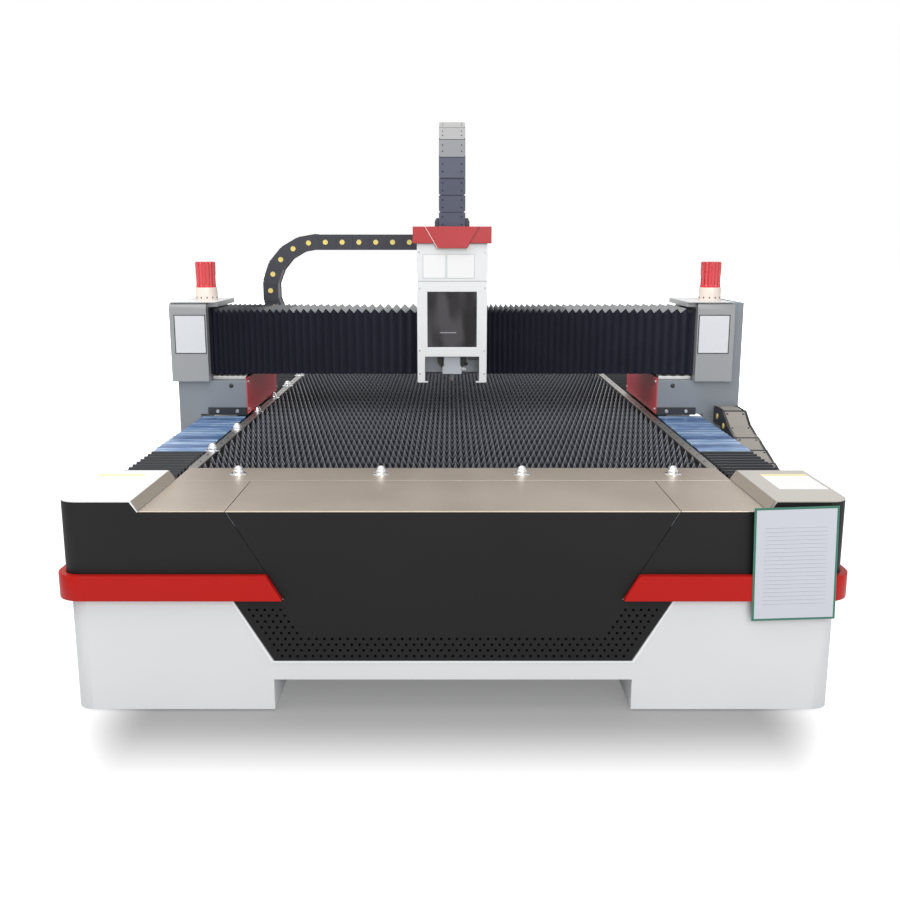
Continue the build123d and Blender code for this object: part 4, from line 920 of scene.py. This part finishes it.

# X bellows: pleated covers over the beam's front and top, from the end boxes to the carriage.
# Black coated fabric in front; the top strip is silver-grey, partly a painted sheen of the light on it, and
# painted shade darkens it to black, then dark grey, at the left of each cover. There the folds lie closer,
# and they spread towards the right.
pleats_low, pleats_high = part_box("x_bellows")
pleat_pitch = 28 * mm
pleat_depth = 19 * mm
pleat_thick = 2.5 * mm
pleat_gap = 0.3 * mm
full_shade_share = 0.33
half_shade_share = 0.48
carriage_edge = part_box("carriage_plate")[1].x
pleat_black = woven("black bellows fabric", "#31333F", "#262832", 0.42)
pleat_grey = woven("silver-grey bellows fabric", "#97999B", "#7F8184", 0.4)
pleat_half_shaded = woven("silver-grey bellows fabric in painted shade", "#5E6064", "#4C4E52", 0.42)
pleat_spread = 0.33
for side, hand in ((-1, "left"), (1, "right")):
    inner = side * (carriage_edge + pleat_gap)
    outer = side * pleats_high.x
    folds = round(abs(outer - inner) / pleat_pitch)
    bm = bmesh.new()
    rows = []
    for i in range(2 * folds + 1):
        share = i / (2 * folds)
        x = inner + (outer - inner) * (share - side * pleat_spread * share * (1 - share))
        sink = pleat_depth * (i % 2)
        back = pleats_high.y
        section = [
            (pleats_low.y + sink, pleats_low.z), (pleats_low.y + sink, pleats_high.z - sink),
            (back, pleats_high.z - sink), (back, pleats_high.z - sink - pleat_thick),
            (pleats_low.y + sink + pleat_thick, pleats_high.z - sink - pleat_thick),
            (pleats_low.y + sink + pleat_thick, pleats_low.z),
        ]
        rows.append([bm.verts.new((x, y, z)) for y, z in section])
    for number, (a, b) in enumerate(zip(rows, rows[1:])):
        share = number / (2 * folds)
        from_left = share if side > 0 else 1 - share
        # Painted shade on the top strip: black, then dark grey, where the folds crowd at the left.
        top_shading = 0 if from_left < full_shade_share else 2 if from_left < half_shade_share else 1
        for i in range(6):
            j = (i + 1) % 6
            face = bm.faces.new((a[i], a[j], b[j], b[i]))
            face.material_index = top_shading if i == 1 else 0
    bm.faces.new(rows[0])
    bm.faces.new(rows[-1])
    pleated = piece(f"x_bellows_{hand}", bm, pleat_black, pleat_grey, pleat_half_shaded)
    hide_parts("x_bellows")
    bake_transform(pleated)

# Carriage, lift module and cutting head: machined aluminium plates and blocks behind the head cover.
# Clear-anodised, with a fine milled grain; the nozzle is turned copper.
alloy = metal("milled aluminium", "#8D9298", 0.4, 9 * mm, stretch=(10, 1, 1), tint="#7C8187")
dress(alloy, "carriage_plate", "z_module", "z_slide", edge=1 * mm)
head_alloy = metal(
    "anodised aluminium", "#B3B9C0", 0.4, 9 * mm, stretch=(1, 1, 10), tint="#A5ABB2", bare=0.4
)
dress(head_alloy, "cutting_head", edge=1 * mm)
copper = metal("turned copper, sooted by the cut", "#C6BBB1", 0.4, 3 * mm, tint="#B3A89E", bare=0.25)
dress(copper, "nozzle")

# Cutting head fittings: side brackets that clamp the block, a sensor plug and a gas elbow.
# Folded steel in dark paint, a black moulded plug and a white push-in fitting.
bracket_out = (38 * mm, 57 * mm)
bracket_z = (772 * mm, 838 * mm)
bracket_y = (-892 * mm, -868 * mm)
bracket_slope = 22 * mm
plug_end = (62 * mm, 790 * mm)
elbow_end = (66 * mm, 770 * mm)
bm = bmesh.new()
bracket = [
    (bracket_out[0], bracket_z[0]), (bracket_out[1], bracket_z[0] + bracket_slope),
    (bracket_out[1], bracket_z[1]), (bracket_out[0], bracket_z[1]),
]
mirrored(bm, bracket, *bracket_y)
fit(piece("cutting_head_brackets", bm, motor_black, edge=1 * mm), "cutting_head", "motor_black")
plug_profile = [(0, 0), (9, 0), (9, 12), (7, 14), (7, 20), (0, 20)]
plug_profile = [(radius * mm, height * mm) for radius, height in plug_profile]
plug_body = turned_piece("plug_body_shape", plug_profile, sides=16)
plug_spot = (Vector((plug_end[0] - 14 * mm, bracket_y[0] - 6 * mm, plug_end[1])), up, right)
sensor_plug = set_out("cutting_head_plug", plug_body, [plug_spot], plug_black, size=0.7, keep=True)
elbow_spot = (Vector((elbow_end[0] - 27 * mm, bracket_y[0] - 4 * mm, elbow_end[1])), up, right)
elbow_white = moulded("white acetal", "#E9EAEA", 0.35)
gas_elbow = set_out("cutting_head_elbow", plug_body, [elbow_spot], elbow_white, size=0.8)
fit(sensor_plug, "cutting_head", "motor_black")
fit(gas_elbow, "cutting_head", "head_white")

# Head cover: a folded white box with two legs, open below, screwed to the carriage plate.
# White powder coat; a seam parts the upper panel, with its two blank vinyl cards, from the window frame.
cover_low, cover_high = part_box("head_cover")
seam_z = 1114 * mm
seam_height = 2.5 * mm
head_white = sprayed("white powder coat on the head", "#ECEEEF", "#E5E8EA", 0.36)
dress(head_white, "head_cover", edge=1.5 * mm)
bm = bmesh.new()
seam = rectangle(cover_low.x + 1 * mm, seam_z, cover_high.x - 1 * mm, seam_z + seam_height)
prism(bm, seam, cover_low.y - 0.3 * mm, cover_low.y + 1 * mm, 1)
seam_grey = sprayed("shadowed seam", "#A9ADB0", "#A0A4A7", 0.6)
fit(piece("head_seam", bm, seam_grey), "head", "head_white")
card_white = sprayed("white vinyl card", "#F6F7F8", "#F0F1F2", 0.5)
card_edge = sprayed("pale rim of the card", "#C9CDD2", "#C0C5CA", 0.5)
card_z = (1125 * mm, 1217 * mm)
card_rim = 2.5 * mm
card_depths = (0.6 * mm, 0.9 * mm)
cards = ((-112 * mm, -23 * mm), (-21 * mm, 87 * mm))
bm = bmesh.new()
for left_x, right_x in cards:
    rimmed(bm, left_x, card_z[0], right_x, card_z[1], card_rim, cover_low.y, card_depths)
fit(piece("head_blank_cards", bm, card_white, card_edge), "head", "head_white")
cover_screw_x = 125 * mm
cover_screw_zs = (760 * mm, 850 * mm, 1090 * mm, 1225 * mm)
cover_screws = []
for side in (-1, 1):
    for z in cover_screw_zs:
        spot = Vector((side * cover_screw_x, cover_low.y, z))
        cover_screws.append((spot, right, forward))
fit(set_out("head_cover_screws", screw, cover_screws, zinc, size=0.45), "head", "rail_steel")

# Head window: a tinted acrylic pane behind the cover's front, through which the optics can be watched.
# Smoke grey and glossy, with faint upright shapes that are painted reflections, and a thin pale line on the
# pane.


def smoked():
    """Smoked acrylic: a dark gloss with soft, tall painted reflections."""
    material, tree, place = new_material("smoked acrylic")
    tall = add(tree, "ShaderNodeMapping", {"Vector": place, "Scale": (1, 1, 0.35), "Rotation": (0, 0.2, 0)})
    depth = add(tree, "ShaderNodeTexNoise", {"Vector": tall, "Scale": 1 / (70 * mm), "Detail": 1.0})
    # Painted reflection: tall soft shapes of lighter grey on the dark pane.
    folds = add(
        tree, "ShaderNodeMapRange", {"Value": depth, "From Min": 0.38, "From Max": 0.62},
        interpolation_type="SMOOTHSTEP",
    )
    tone = add(
        tree, "ShaderNodeMix", {0: folds, 6: linear("#151215"), 7: linear("#4A464C")}, data_type="RGBA"
    )
    coat(tree, {"Base Color": tone, "Roughness": 0.15, "Specular IOR Level": 0.3})
    return material


dress(smoked(), "head_window")
window_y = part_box("head_window")[0].y
line_z = (917 * mm, 921 * mm)
line_x = (-47 * mm, 16 * mm)
bm = bmesh.new()
corners = rectangle(line_x[0], line_z[0], line_x[1], line_z[1])
prism(bm, corners, window_y - 0.6 * mm, window_y, 1)
pale_line_grey = moulded("pale line on the pane", "#98949B", 0.4)
fit(piece("window_clip", bm, pale_line_grey), "head", "smoke_window")

# Head cap: a moulded red cap over the cover, with a raised centre shield and a slot for the Z chain.
# Satin ABS, with a pale line where the shield's left edge catches the light and a dark one on its right.
cap_red = moulded("red ABS", "#B0242B", 0.4)
dress(cap_red, "head_cap", edge=1.5 * mm)
cap_low, cap_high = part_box("head_cap")
shield_half_top = 101 * mm
shield_half_low = 54 * mm
glint_width = 3 * mm
glint_sink = 0.5 * mm
glint_back = 4 * mm
cap_pale = moulded("pale edge of red ABS", "#F0C9C8", 0.3)
cap_dark = moulded("shadowed edge of red ABS", "#7E1C22", 0.5)
bm = bmesh.new()
glint = [
    (shield_half_low, cap_low.z), (shield_half_top, cap_high.z), (shield_half_top + glint_width, cap_high.z),
    (shield_half_low + glint_width, cap_low.z),
]
mirrored(bm, glint, cap_low.y + glint_sink, cap_low.y + glint_back, finishes=(0, 1))
fit(piece("cap_shield_edges", bm, cap_pale, cap_dark), "head", "cap_red")

# Cable chains: plastic drag chains with side plates, cover bars and yellow pins at the joints.
# The X chain lies behind the beam: an upper run to the head's arm, a half turn, and a run in a tray.
link_gap = 2 * mm
link_lap = 9 * mm
joggle = 3 * mm
plate_thick = 10 * mm
corner_cut = 7 * mm
bar_thick = 5 * mm
pin_radius = 11 * mm
pin_proud = 1.5 * mm
pin_sides = 14
bar_sink = 2 * mm
chain_pitch = 74 * mm


def link_shape(length, width, height):
    """One link: two side plates that lap over the next link's, with an outer and an inner bar."""
    bm = bmesh.new()
    half = length / 2 + link_lap
    top = height / 2
    outline = [
        (-half, -top + corner_cut), (-half + corner_cut, -top), (half - corner_cut, -top),
        (half, -top + corner_cut), (half, top - corner_cut), (half - corner_cut, top),
        (-half + corner_cut, top), (-half, top - corner_cut),
    ]
    for side in (-1, 1):
        faces = []
        for depth in (0, plate_thick):
            lap = [joggle * (half - x) / (2 * half) for x, z in outline]
            spots = [(x, side * (width / 2 - depth - sink), z) for (x, z), sink in zip(outline, lap)]
            faces.append([bm.verts.new(spot) for spot in spots])
            bm.faces.new(faces[-1])
        for i in range(len(outline)):
            j = (i + 1) % len(outline)
            bm.faces.new((faces[0][i], faces[0][j], faces[1][j], faces[1][i]))
    inside = width / 2 - plate_thick
    bar = length / 2 - link_gap
    for low in (top - bar_sink - bar_thick, bar_sink - top):
        block(bm, (-bar, -inside, low), (bar, inside, low + bar_thick))
    return piece("link_shape", bm)


def pin_shape(width):
    """The two round pin heads of a link, one on each side plate."""
    bm = bmesh.new()
    for side in (-1, 1):
        corners = []
        for i in range(pin_sides):
            angle = math.tau * i / pin_sides
            corners.append((pin_radius * math.cos(angle), pin_radius * math.sin(angle)))
        prism(bm, corners, side * (width / 2 - 2 * mm), side * (width / 2 + pin_proud), 1)
    return piece("pin_shape", bm)


def run(start, end, outward, pitch):
    """Even places for links along a straight run, and the length of each link."""
    way = Vector(end) - Vector(start)
    count = max(1, round(way.length / pitch))
    spots = [Vector(start) + way * ((i + 0.5) / count) for i in range(count)]
    return [(spot, way, outward) for spot in spots], way.length / count


def half_turn(centre, radius, first, second, pitch):
    """Even places for links round a half turn from one direction, through a second, to its opposite."""
    count = max(1, round(math.pi * radius / pitch))
    spots = []
    for i in range(count):
        angle = math.pi * (i + 0.5) / count
        outward = Vector(first) * math.cos(angle) + Vector(second) * math.sin(angle)
        along = Vector(second) * math.cos(angle) - Vector(first) * math.sin(angle)
        spots.append((Vector(centre) + outward * radius, along, outward))
    return spots, math.pi * radius / count


chain_plastic = moulded("dark glass-filled nylon", "#2B2C36", 0.5)
pin_yellow = moulded("yellow acetal", "#F0DA80", 0.4)


def chain_part(name, places, length, width, height):
    """Links and pin heads at places, as two pieces that stand for the CAD node of that name."""
    links = set_out(f"{name}_links", link_shape(length, width, height), places, chain_plastic)
    pins = set_out(f"{name}_pins", pin_shape(width), places, pin_yellow)
    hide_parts(name)
    return [links, pins]


up_low, up_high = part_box("x_chain_upper")
bend_end_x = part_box("x_chain_bend")[1].x
down_low, down_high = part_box("x_chain_lower")
x_width = up_high.y - up_low.y
x_height = up_high.z - up_low.z
x_middle = (up_low.y + up_high.y) / 2
x_level = (up_low.z + up_high.z) / 2
x_low_level = (down_low.z + down_high.z) / 2
x_radius = (x_level - x_low_level) / 2
places, length = run((up_low.x, x_middle, x_level), (up_high.x, x_middle, x_level), up, chain_pitch)
for made in chain_part("x_chain_upper", places, length, x_width, x_height):
    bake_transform(made)
bend_centre = (bend_end_x, x_middle, (x_level + x_low_level) / 2)
places, length = half_turn(bend_centre, x_radius, up, (-1, 0, 0), chain_pitch)
for made in chain_part("x_chain_bend", places, length, x_width, x_height):
    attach(made, "x_chain_bend")
down = (0, 0, -1)
tray_start = (down_low.x, x_middle, x_low_level)
tray_end = (down_high.x, x_middle, x_low_level)
places, length = run(tray_start, tray_end, down, chain_pitch)
for made in chain_part("x_chain_lower", places, length, x_width, x_height):
    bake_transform(made)

# Y chain: the wide drag chain from the right saddle down into its trough beside the bed.
# Its outer cover plates are warm grey, clipped on to keep dust out; the side plates are dark.
y_pitch = 80 * mm
y_upper_pitch = 112 * mm
y_cover_length = 104 * mm
cover_step = 3 * mm
spot_radius = 2.6 * mm
spot_sink = 0.5 * mm
y_flat = 112 * mm
y_knee = 80 * mm
y_knee_drop = 46 * mm
y_bend_lead = 10 * mm
yup_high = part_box("y_chain_upper")[1]
ybend_low, ybend_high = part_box("y_chain_bend")
ydown_low, ydown_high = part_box("y_chain_lower")
y_width = ydown_high.x - ydown_low.x
y_height = ydown_high.z - ydown_low.z
y_middle = (ydown_low.x + ydown_high.x) / 2
y_half = y_height / 2
cover_plate_grey = moulded("warm grey nylon", "#96918A", 0.5)


def covers(name, places, length):
    """The closed outer cover plates of a stretch of the Y chain, each a little smaller than its link."""
    bm = bmesh.new()
    half = length / 2 - 2 * link_gap
    wide = y_width / 2 - cover_step
    block(bm, (-half, -wide, y_half - cover_step), (half, wide, y_half))
    made = set_out(name, piece("cover_plate_shape", bm), places, cover_plate_grey)
    return made


saddle_end = Vector((y_middle, yup_high.y, yup_high.z - y_half))
flat_end = saddle_end - Vector((0, y_flat, 0))
knee_end = flat_end - Vector((0, y_knee, y_knee_drop))
bend_end = Vector((y_middle, ybend_high.y + y_bend_lead, ybend_high.z - y_half))
upper_places = []
for start, end in ((bend_end, knee_end), (knee_end, flat_end), (flat_end, saddle_end)):
    way = end - start
    upper_places += run(start, end, (0, -way.z, way.y), y_upper_pitch)[0]
upper = chain_part("y_chain_upper", upper_places, y_upper_pitch, y_width, y_height)
upper.append(covers("y_chain_upper_covers", upper_places, y_cover_length))
spot_hole = turned_piece("spot_hole_shape", [(spot_radius, -spot_sink), (spot_radius, spot_sink)], sides=8)


def face_spots(places, rise, across_reach, along_reaches):
    """Places on each link's outer face, in pairs either side of its middle line."""
    found = []
    for spot, along, outward in places:
        x = Vector(along).normalized()
        z = Vector(outward).normalized()
        for side in (-1, 1):
            for reach in along_reaches:
                face = spot + z * rise + z.cross(x) * side * across_reach + x * reach
                found.append((face, along, outward))
    return found


clip_spots = face_spots(upper_places, y_half, 0.32 * y_width, (0.3 * y_upper_pitch,))
upper.append(set_out("y_chain_cover_clips", spot_hole, clip_spots, hole_dark, size=1.6, keep=True))
for made in upper:
    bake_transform(made)
y_centre = (y_middle, ybend_high.y, (ybend_low.z + ybend_high.z) / 2)
y_radius = (ybend_high.z - ybend_low.z) / 2 - y_half
places, length = half_turn(y_centre, y_radius, up, (0, -1, 0), y_pitch)
turned = chain_part("y_chain_bend", places, length, y_width, y_height)
turned.append(covers("y_chain_bend_covers", places, length))
for made in turned:
    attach(made, "y_chain_bend")
y_level = (ydown_low.z + ydown_high.z) / 2
places, length = run((y_middle, ydown_low.y, y_level), (y_middle, ydown_high.y, y_level), down, y_pitch)
for made in chain_part("y_chain_lower", places, length, y_width, y_height):
    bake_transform(made)

# Z chain: the closed drag chain that rises through the cap, turns over and comes down to the arm.
# Slate-grey nylon covers with two pairs of small holes in each link, painted paler where they face up as
# painted light; dark ears guide it at the cap.
z_low, z_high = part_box("z_chain")
z_pitch = 64 * mm
z_height = 60 * mm
z_width = z_high.x - z_low.x
z_half = z_height / 2
z_centre_z = z_high.z - (z_high.y - z_low.y) / 2
arm_top = 1200 * mm
z_front = z_low.y + z_half
z_rear = z_high.y - z_half


def lit_from_above(name, colour, top_light_colour, roughness):
    """Moulded nylon painted paler wherever it faces up, as painted light from above."""
    material, tree, place = new_material(name)
    cloud = add(tree, "ShaderNodeTexNoise", {"Vector": place, "Scale": 1 / (60 * mm), "Detail": 3.0})
    normal = add(tree, "ShaderNodeNewGeometry").outputs["Normal"]
    ways = add(tree, "ShaderNodeSeparateXYZ", {"Vector": normal})
    # Painted light: faces that point up are mixed towards the pale colour.
    facing = add(
        tree, "ShaderNodeMapRange",
        {"Value": ways.outputs["Z"], "From Min": 0.15, "From Max": 0.85, "To Max": 0.9},
    )
    clean = add(
        tree, "ShaderNodeMix", {0: cloud, 6: linear(colour), 7: linear("#4F5364")}, data_type="RGBA"
    )
    tone = add(tree, "ShaderNodeMix", {0: facing, 6: clean, 7: linear(top_light_colour)}, data_type="RGBA")
    coat(tree, {"Base Color": tone, "Roughness": roughness, "Specular IOR Level": 0.3})
    return material


slate = lit_from_above("slate-grey nylon painted paler where it faces up", "#444859", "#B0B0AE", 0.45)
front_places, length = run((0, z_front, z_low.z), (0, z_front, z_centre_z), forward, z_pitch)
arch_centre = (0, (z_front + z_rear) / 2, z_centre_z)
arch_radius = (z_rear - z_front) / 2
arch_places, arch_length = half_turn(arch_centre, arch_radius, forward, up, z_pitch)
rear_places = run((0, z_rear, z_centre_z), (0, z_rear, arm_top), (0, 1, 0), z_pitch)[0]
z_places = front_places + arch_places + rear_places


def closed_link(length, width, height):
    """A closed link of box section, with its edges cut where the next link tucks in."""
    bm = bmesh.new()
    half = length / 2 - link_gap / 2
    side = width / 2
    top = height / 2
    notch = 6 * mm
    outline = [
        (-half, -side + notch), (-half + notch, -side), (half, -side), (half, side), (-half + notch, side),
        (-half, side - notch),
    ]
    prism(bm, outline, -top, top, 2)
    return piece("closed_link_shape", bm)


straight = closed_link(length, z_width, z_height)
z_links = set_out("z_chain_links", straight, front_places + rear_places, slate)
arched = closed_link(arch_length * (arch_radius + z_half) / arch_radius, z_width, z_height)
z_arch = set_out("z_chain_arch_links", arched, arch_places, slate)
hole_places = face_spots(z_places, z_half, 0.36 * z_width, (-0.22 * z_pitch, 0.22 * z_pitch))
z_holes = set_out("z_chain_holes", spot_hole, hole_places, hole_dark)
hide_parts("z_chain")
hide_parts("z_chain")
for made in (z_links, z_arch, z_holes):
    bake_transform(made)
ear_x = (50.5 * mm, 66 * mm)
ear_y = (-945 * mm, -900 * mm)
ear_top = 32 * mm
ear_radius = 6 * mm
bm = bmesh.new()
ear = [
    (ear_x[0], cap_high.z), (ear_x[1], cap_high.z), (ear_x[1], cap_high.z + 0.6 * ear_top),
    (ear_x[1] - ear_radius, cap_high.z + ear_top), (ear_x[0], cap_high.z + ear_top),
]
mirrored(bm, ear, *ear_y)
fit(piece("z_chain_ears", bm, chain_plastic, edge=1 * mm), "head", "chain_grey")

# Studio: a pale floor, an even white surround, a large soft lamp overhead and one in front.
# Round the machine a painted shadow holds the floor's glow low over its real soft shadow, and past it the
# floor fades to white.
# The camera stands in front of the machine, a little over the table, as in the photograph.
camera_place = Vector((-8 * mm, -4839 * mm, 1247 * mm))
camera_pitch = math.radians(90 - 11.53)
camera_lens = 40
floor_reach = 40
floor_glow = 0.22
floor_grey = (0.173, 0.173, 0.173, 1)
bounce_grey = (0.7, 0.7, 0.7, 1)
white = (1, 1, 1, 1)
painted_shadow_side = (0.81, 1.10)
painted_shadow_front = (-2.33, -2.78)
painted_shadow_back = (2.4, 3.2)
surround_light = 0.4


def shown_rays(tree):
    """1 for rays that show the white surround: from the camera, off gloss or through clear plastic."""
    rays = add(tree, "ShaderNodeLightPath").outputs
    sockets = {0: rays["Is Camera Ray"], 1: rays["Is Transmission Ray"]}
    seen = add(tree, "ShaderNodeMath", sockets, operation="MAXIMUM")
    return add(tree, "ShaderNodeMath", {0: seen, 1: rays["Is Glossy Ray"]}, operation="MAXIMUM")


floor, tree, place = new_material("pale floor")
shown = shown_rays(tree)
ways = add(tree, "ShaderNodeSeparateXYZ", {"Vector": place})
sideways = add(tree, "ShaderNodeMath", {0: ways.outputs["X"]}, operation="ABSOLUTE")
# Painted shadow: the glow is held low beside, ahead of and behind the machine.
fades = []
for value, least, (start, end) in (
    (sideways, 0.0, painted_shadow_side), (ways.outputs["Y"], floor_glow, painted_shadow_front),
    (ways.outputs["Y"], floor_glow, painted_shadow_back),
):
    reach = {"Value": value, "From Min": start, "From Max": end, "To Min": least}
    fades.append(add(tree, "ShaderNodeMapRange", reach, interpolation_type="SMOOTHSTEP"))
beside, ahead, behind = fades
past = add(tree, "ShaderNodeMath", {0: ahead, 1: behind}, operation="MAXIMUM")
fade = add(tree, "ShaderNodeMath", {0: beside, 1: past}, operation="ADD")
lit = add(tree, "ShaderNodeBsdfDiffuse", {"Color": floor_grey})
glow = add(tree, "ShaderNodeEmission", {"Color": white, "Strength": fade})
both = add(tree, "ShaderNodeAddShader", {0: lit, 1: glow})
plain = add(tree, "ShaderNodeBsdfDiffuse", {"Color": bounce_grey})
mixed = add(tree, "ShaderNodeMixShader", {0: shown, 1: plain, 2: both})
tree.links.new(mixed.outputs["Shader"], tree.nodes["Material Output"].inputs["Surface"])
bm = bmesh.new()
bmesh.ops.create_grid(bm, x_segments=1, y_segments=1, size=floor_reach)
ground = piece("studio_floor", bm, floor)
ground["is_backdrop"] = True

world = bpy.data.worlds.new("white surround")
bpy.context.scene.world = world
world.use_nodes = True
tree = world.node_tree
strength = add(tree, "ShaderNodeMapRange", {"Value": shown_rays(tree), "To Min": surround_light})
tree.links.new(strength.outputs["Result"], tree.nodes["Background"].inputs["Strength"])
tree.nodes["Background"].inputs["Color"].default_value = white

for name, spot, aim, size, power in (
    ("overhead lamp", (-1.5, -2.5, 5.0), (0, -0.8, 0.5), 5.0, 200),
    ("front lamp", (1.5, -7.5, 3.2), (0, -1.5, 0.5), 4.0, 200),
):
    lamp = bpy.data.lights.new(name, "AREA")
    lamp.shape = "SQUARE"
    lamp.size = size
    lamp.energy = power
    holder = bpy.data.objects.new(name, lamp)
    holder.location = spot
    holder.rotation_euler = (Vector(aim) - Vector(spot)).to_track_quat("-Z", "Y").to_euler()
    bpy.context.scene.collection.objects.link(holder)

camera = bpy.data.objects.new("camera", bpy.data.cameras.new("camera"))
camera.data.lens = camera_lens
camera.data.sensor_width = 36
camera.location = camera_place
camera.rotation_euler = (camera_pitch, 0, 0)
bpy.context.scene.collection.objects.link(camera)
bpy.context.scene.camera = camera
bpy.context.scene.view_settings.view_transform = "Standard"

low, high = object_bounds()
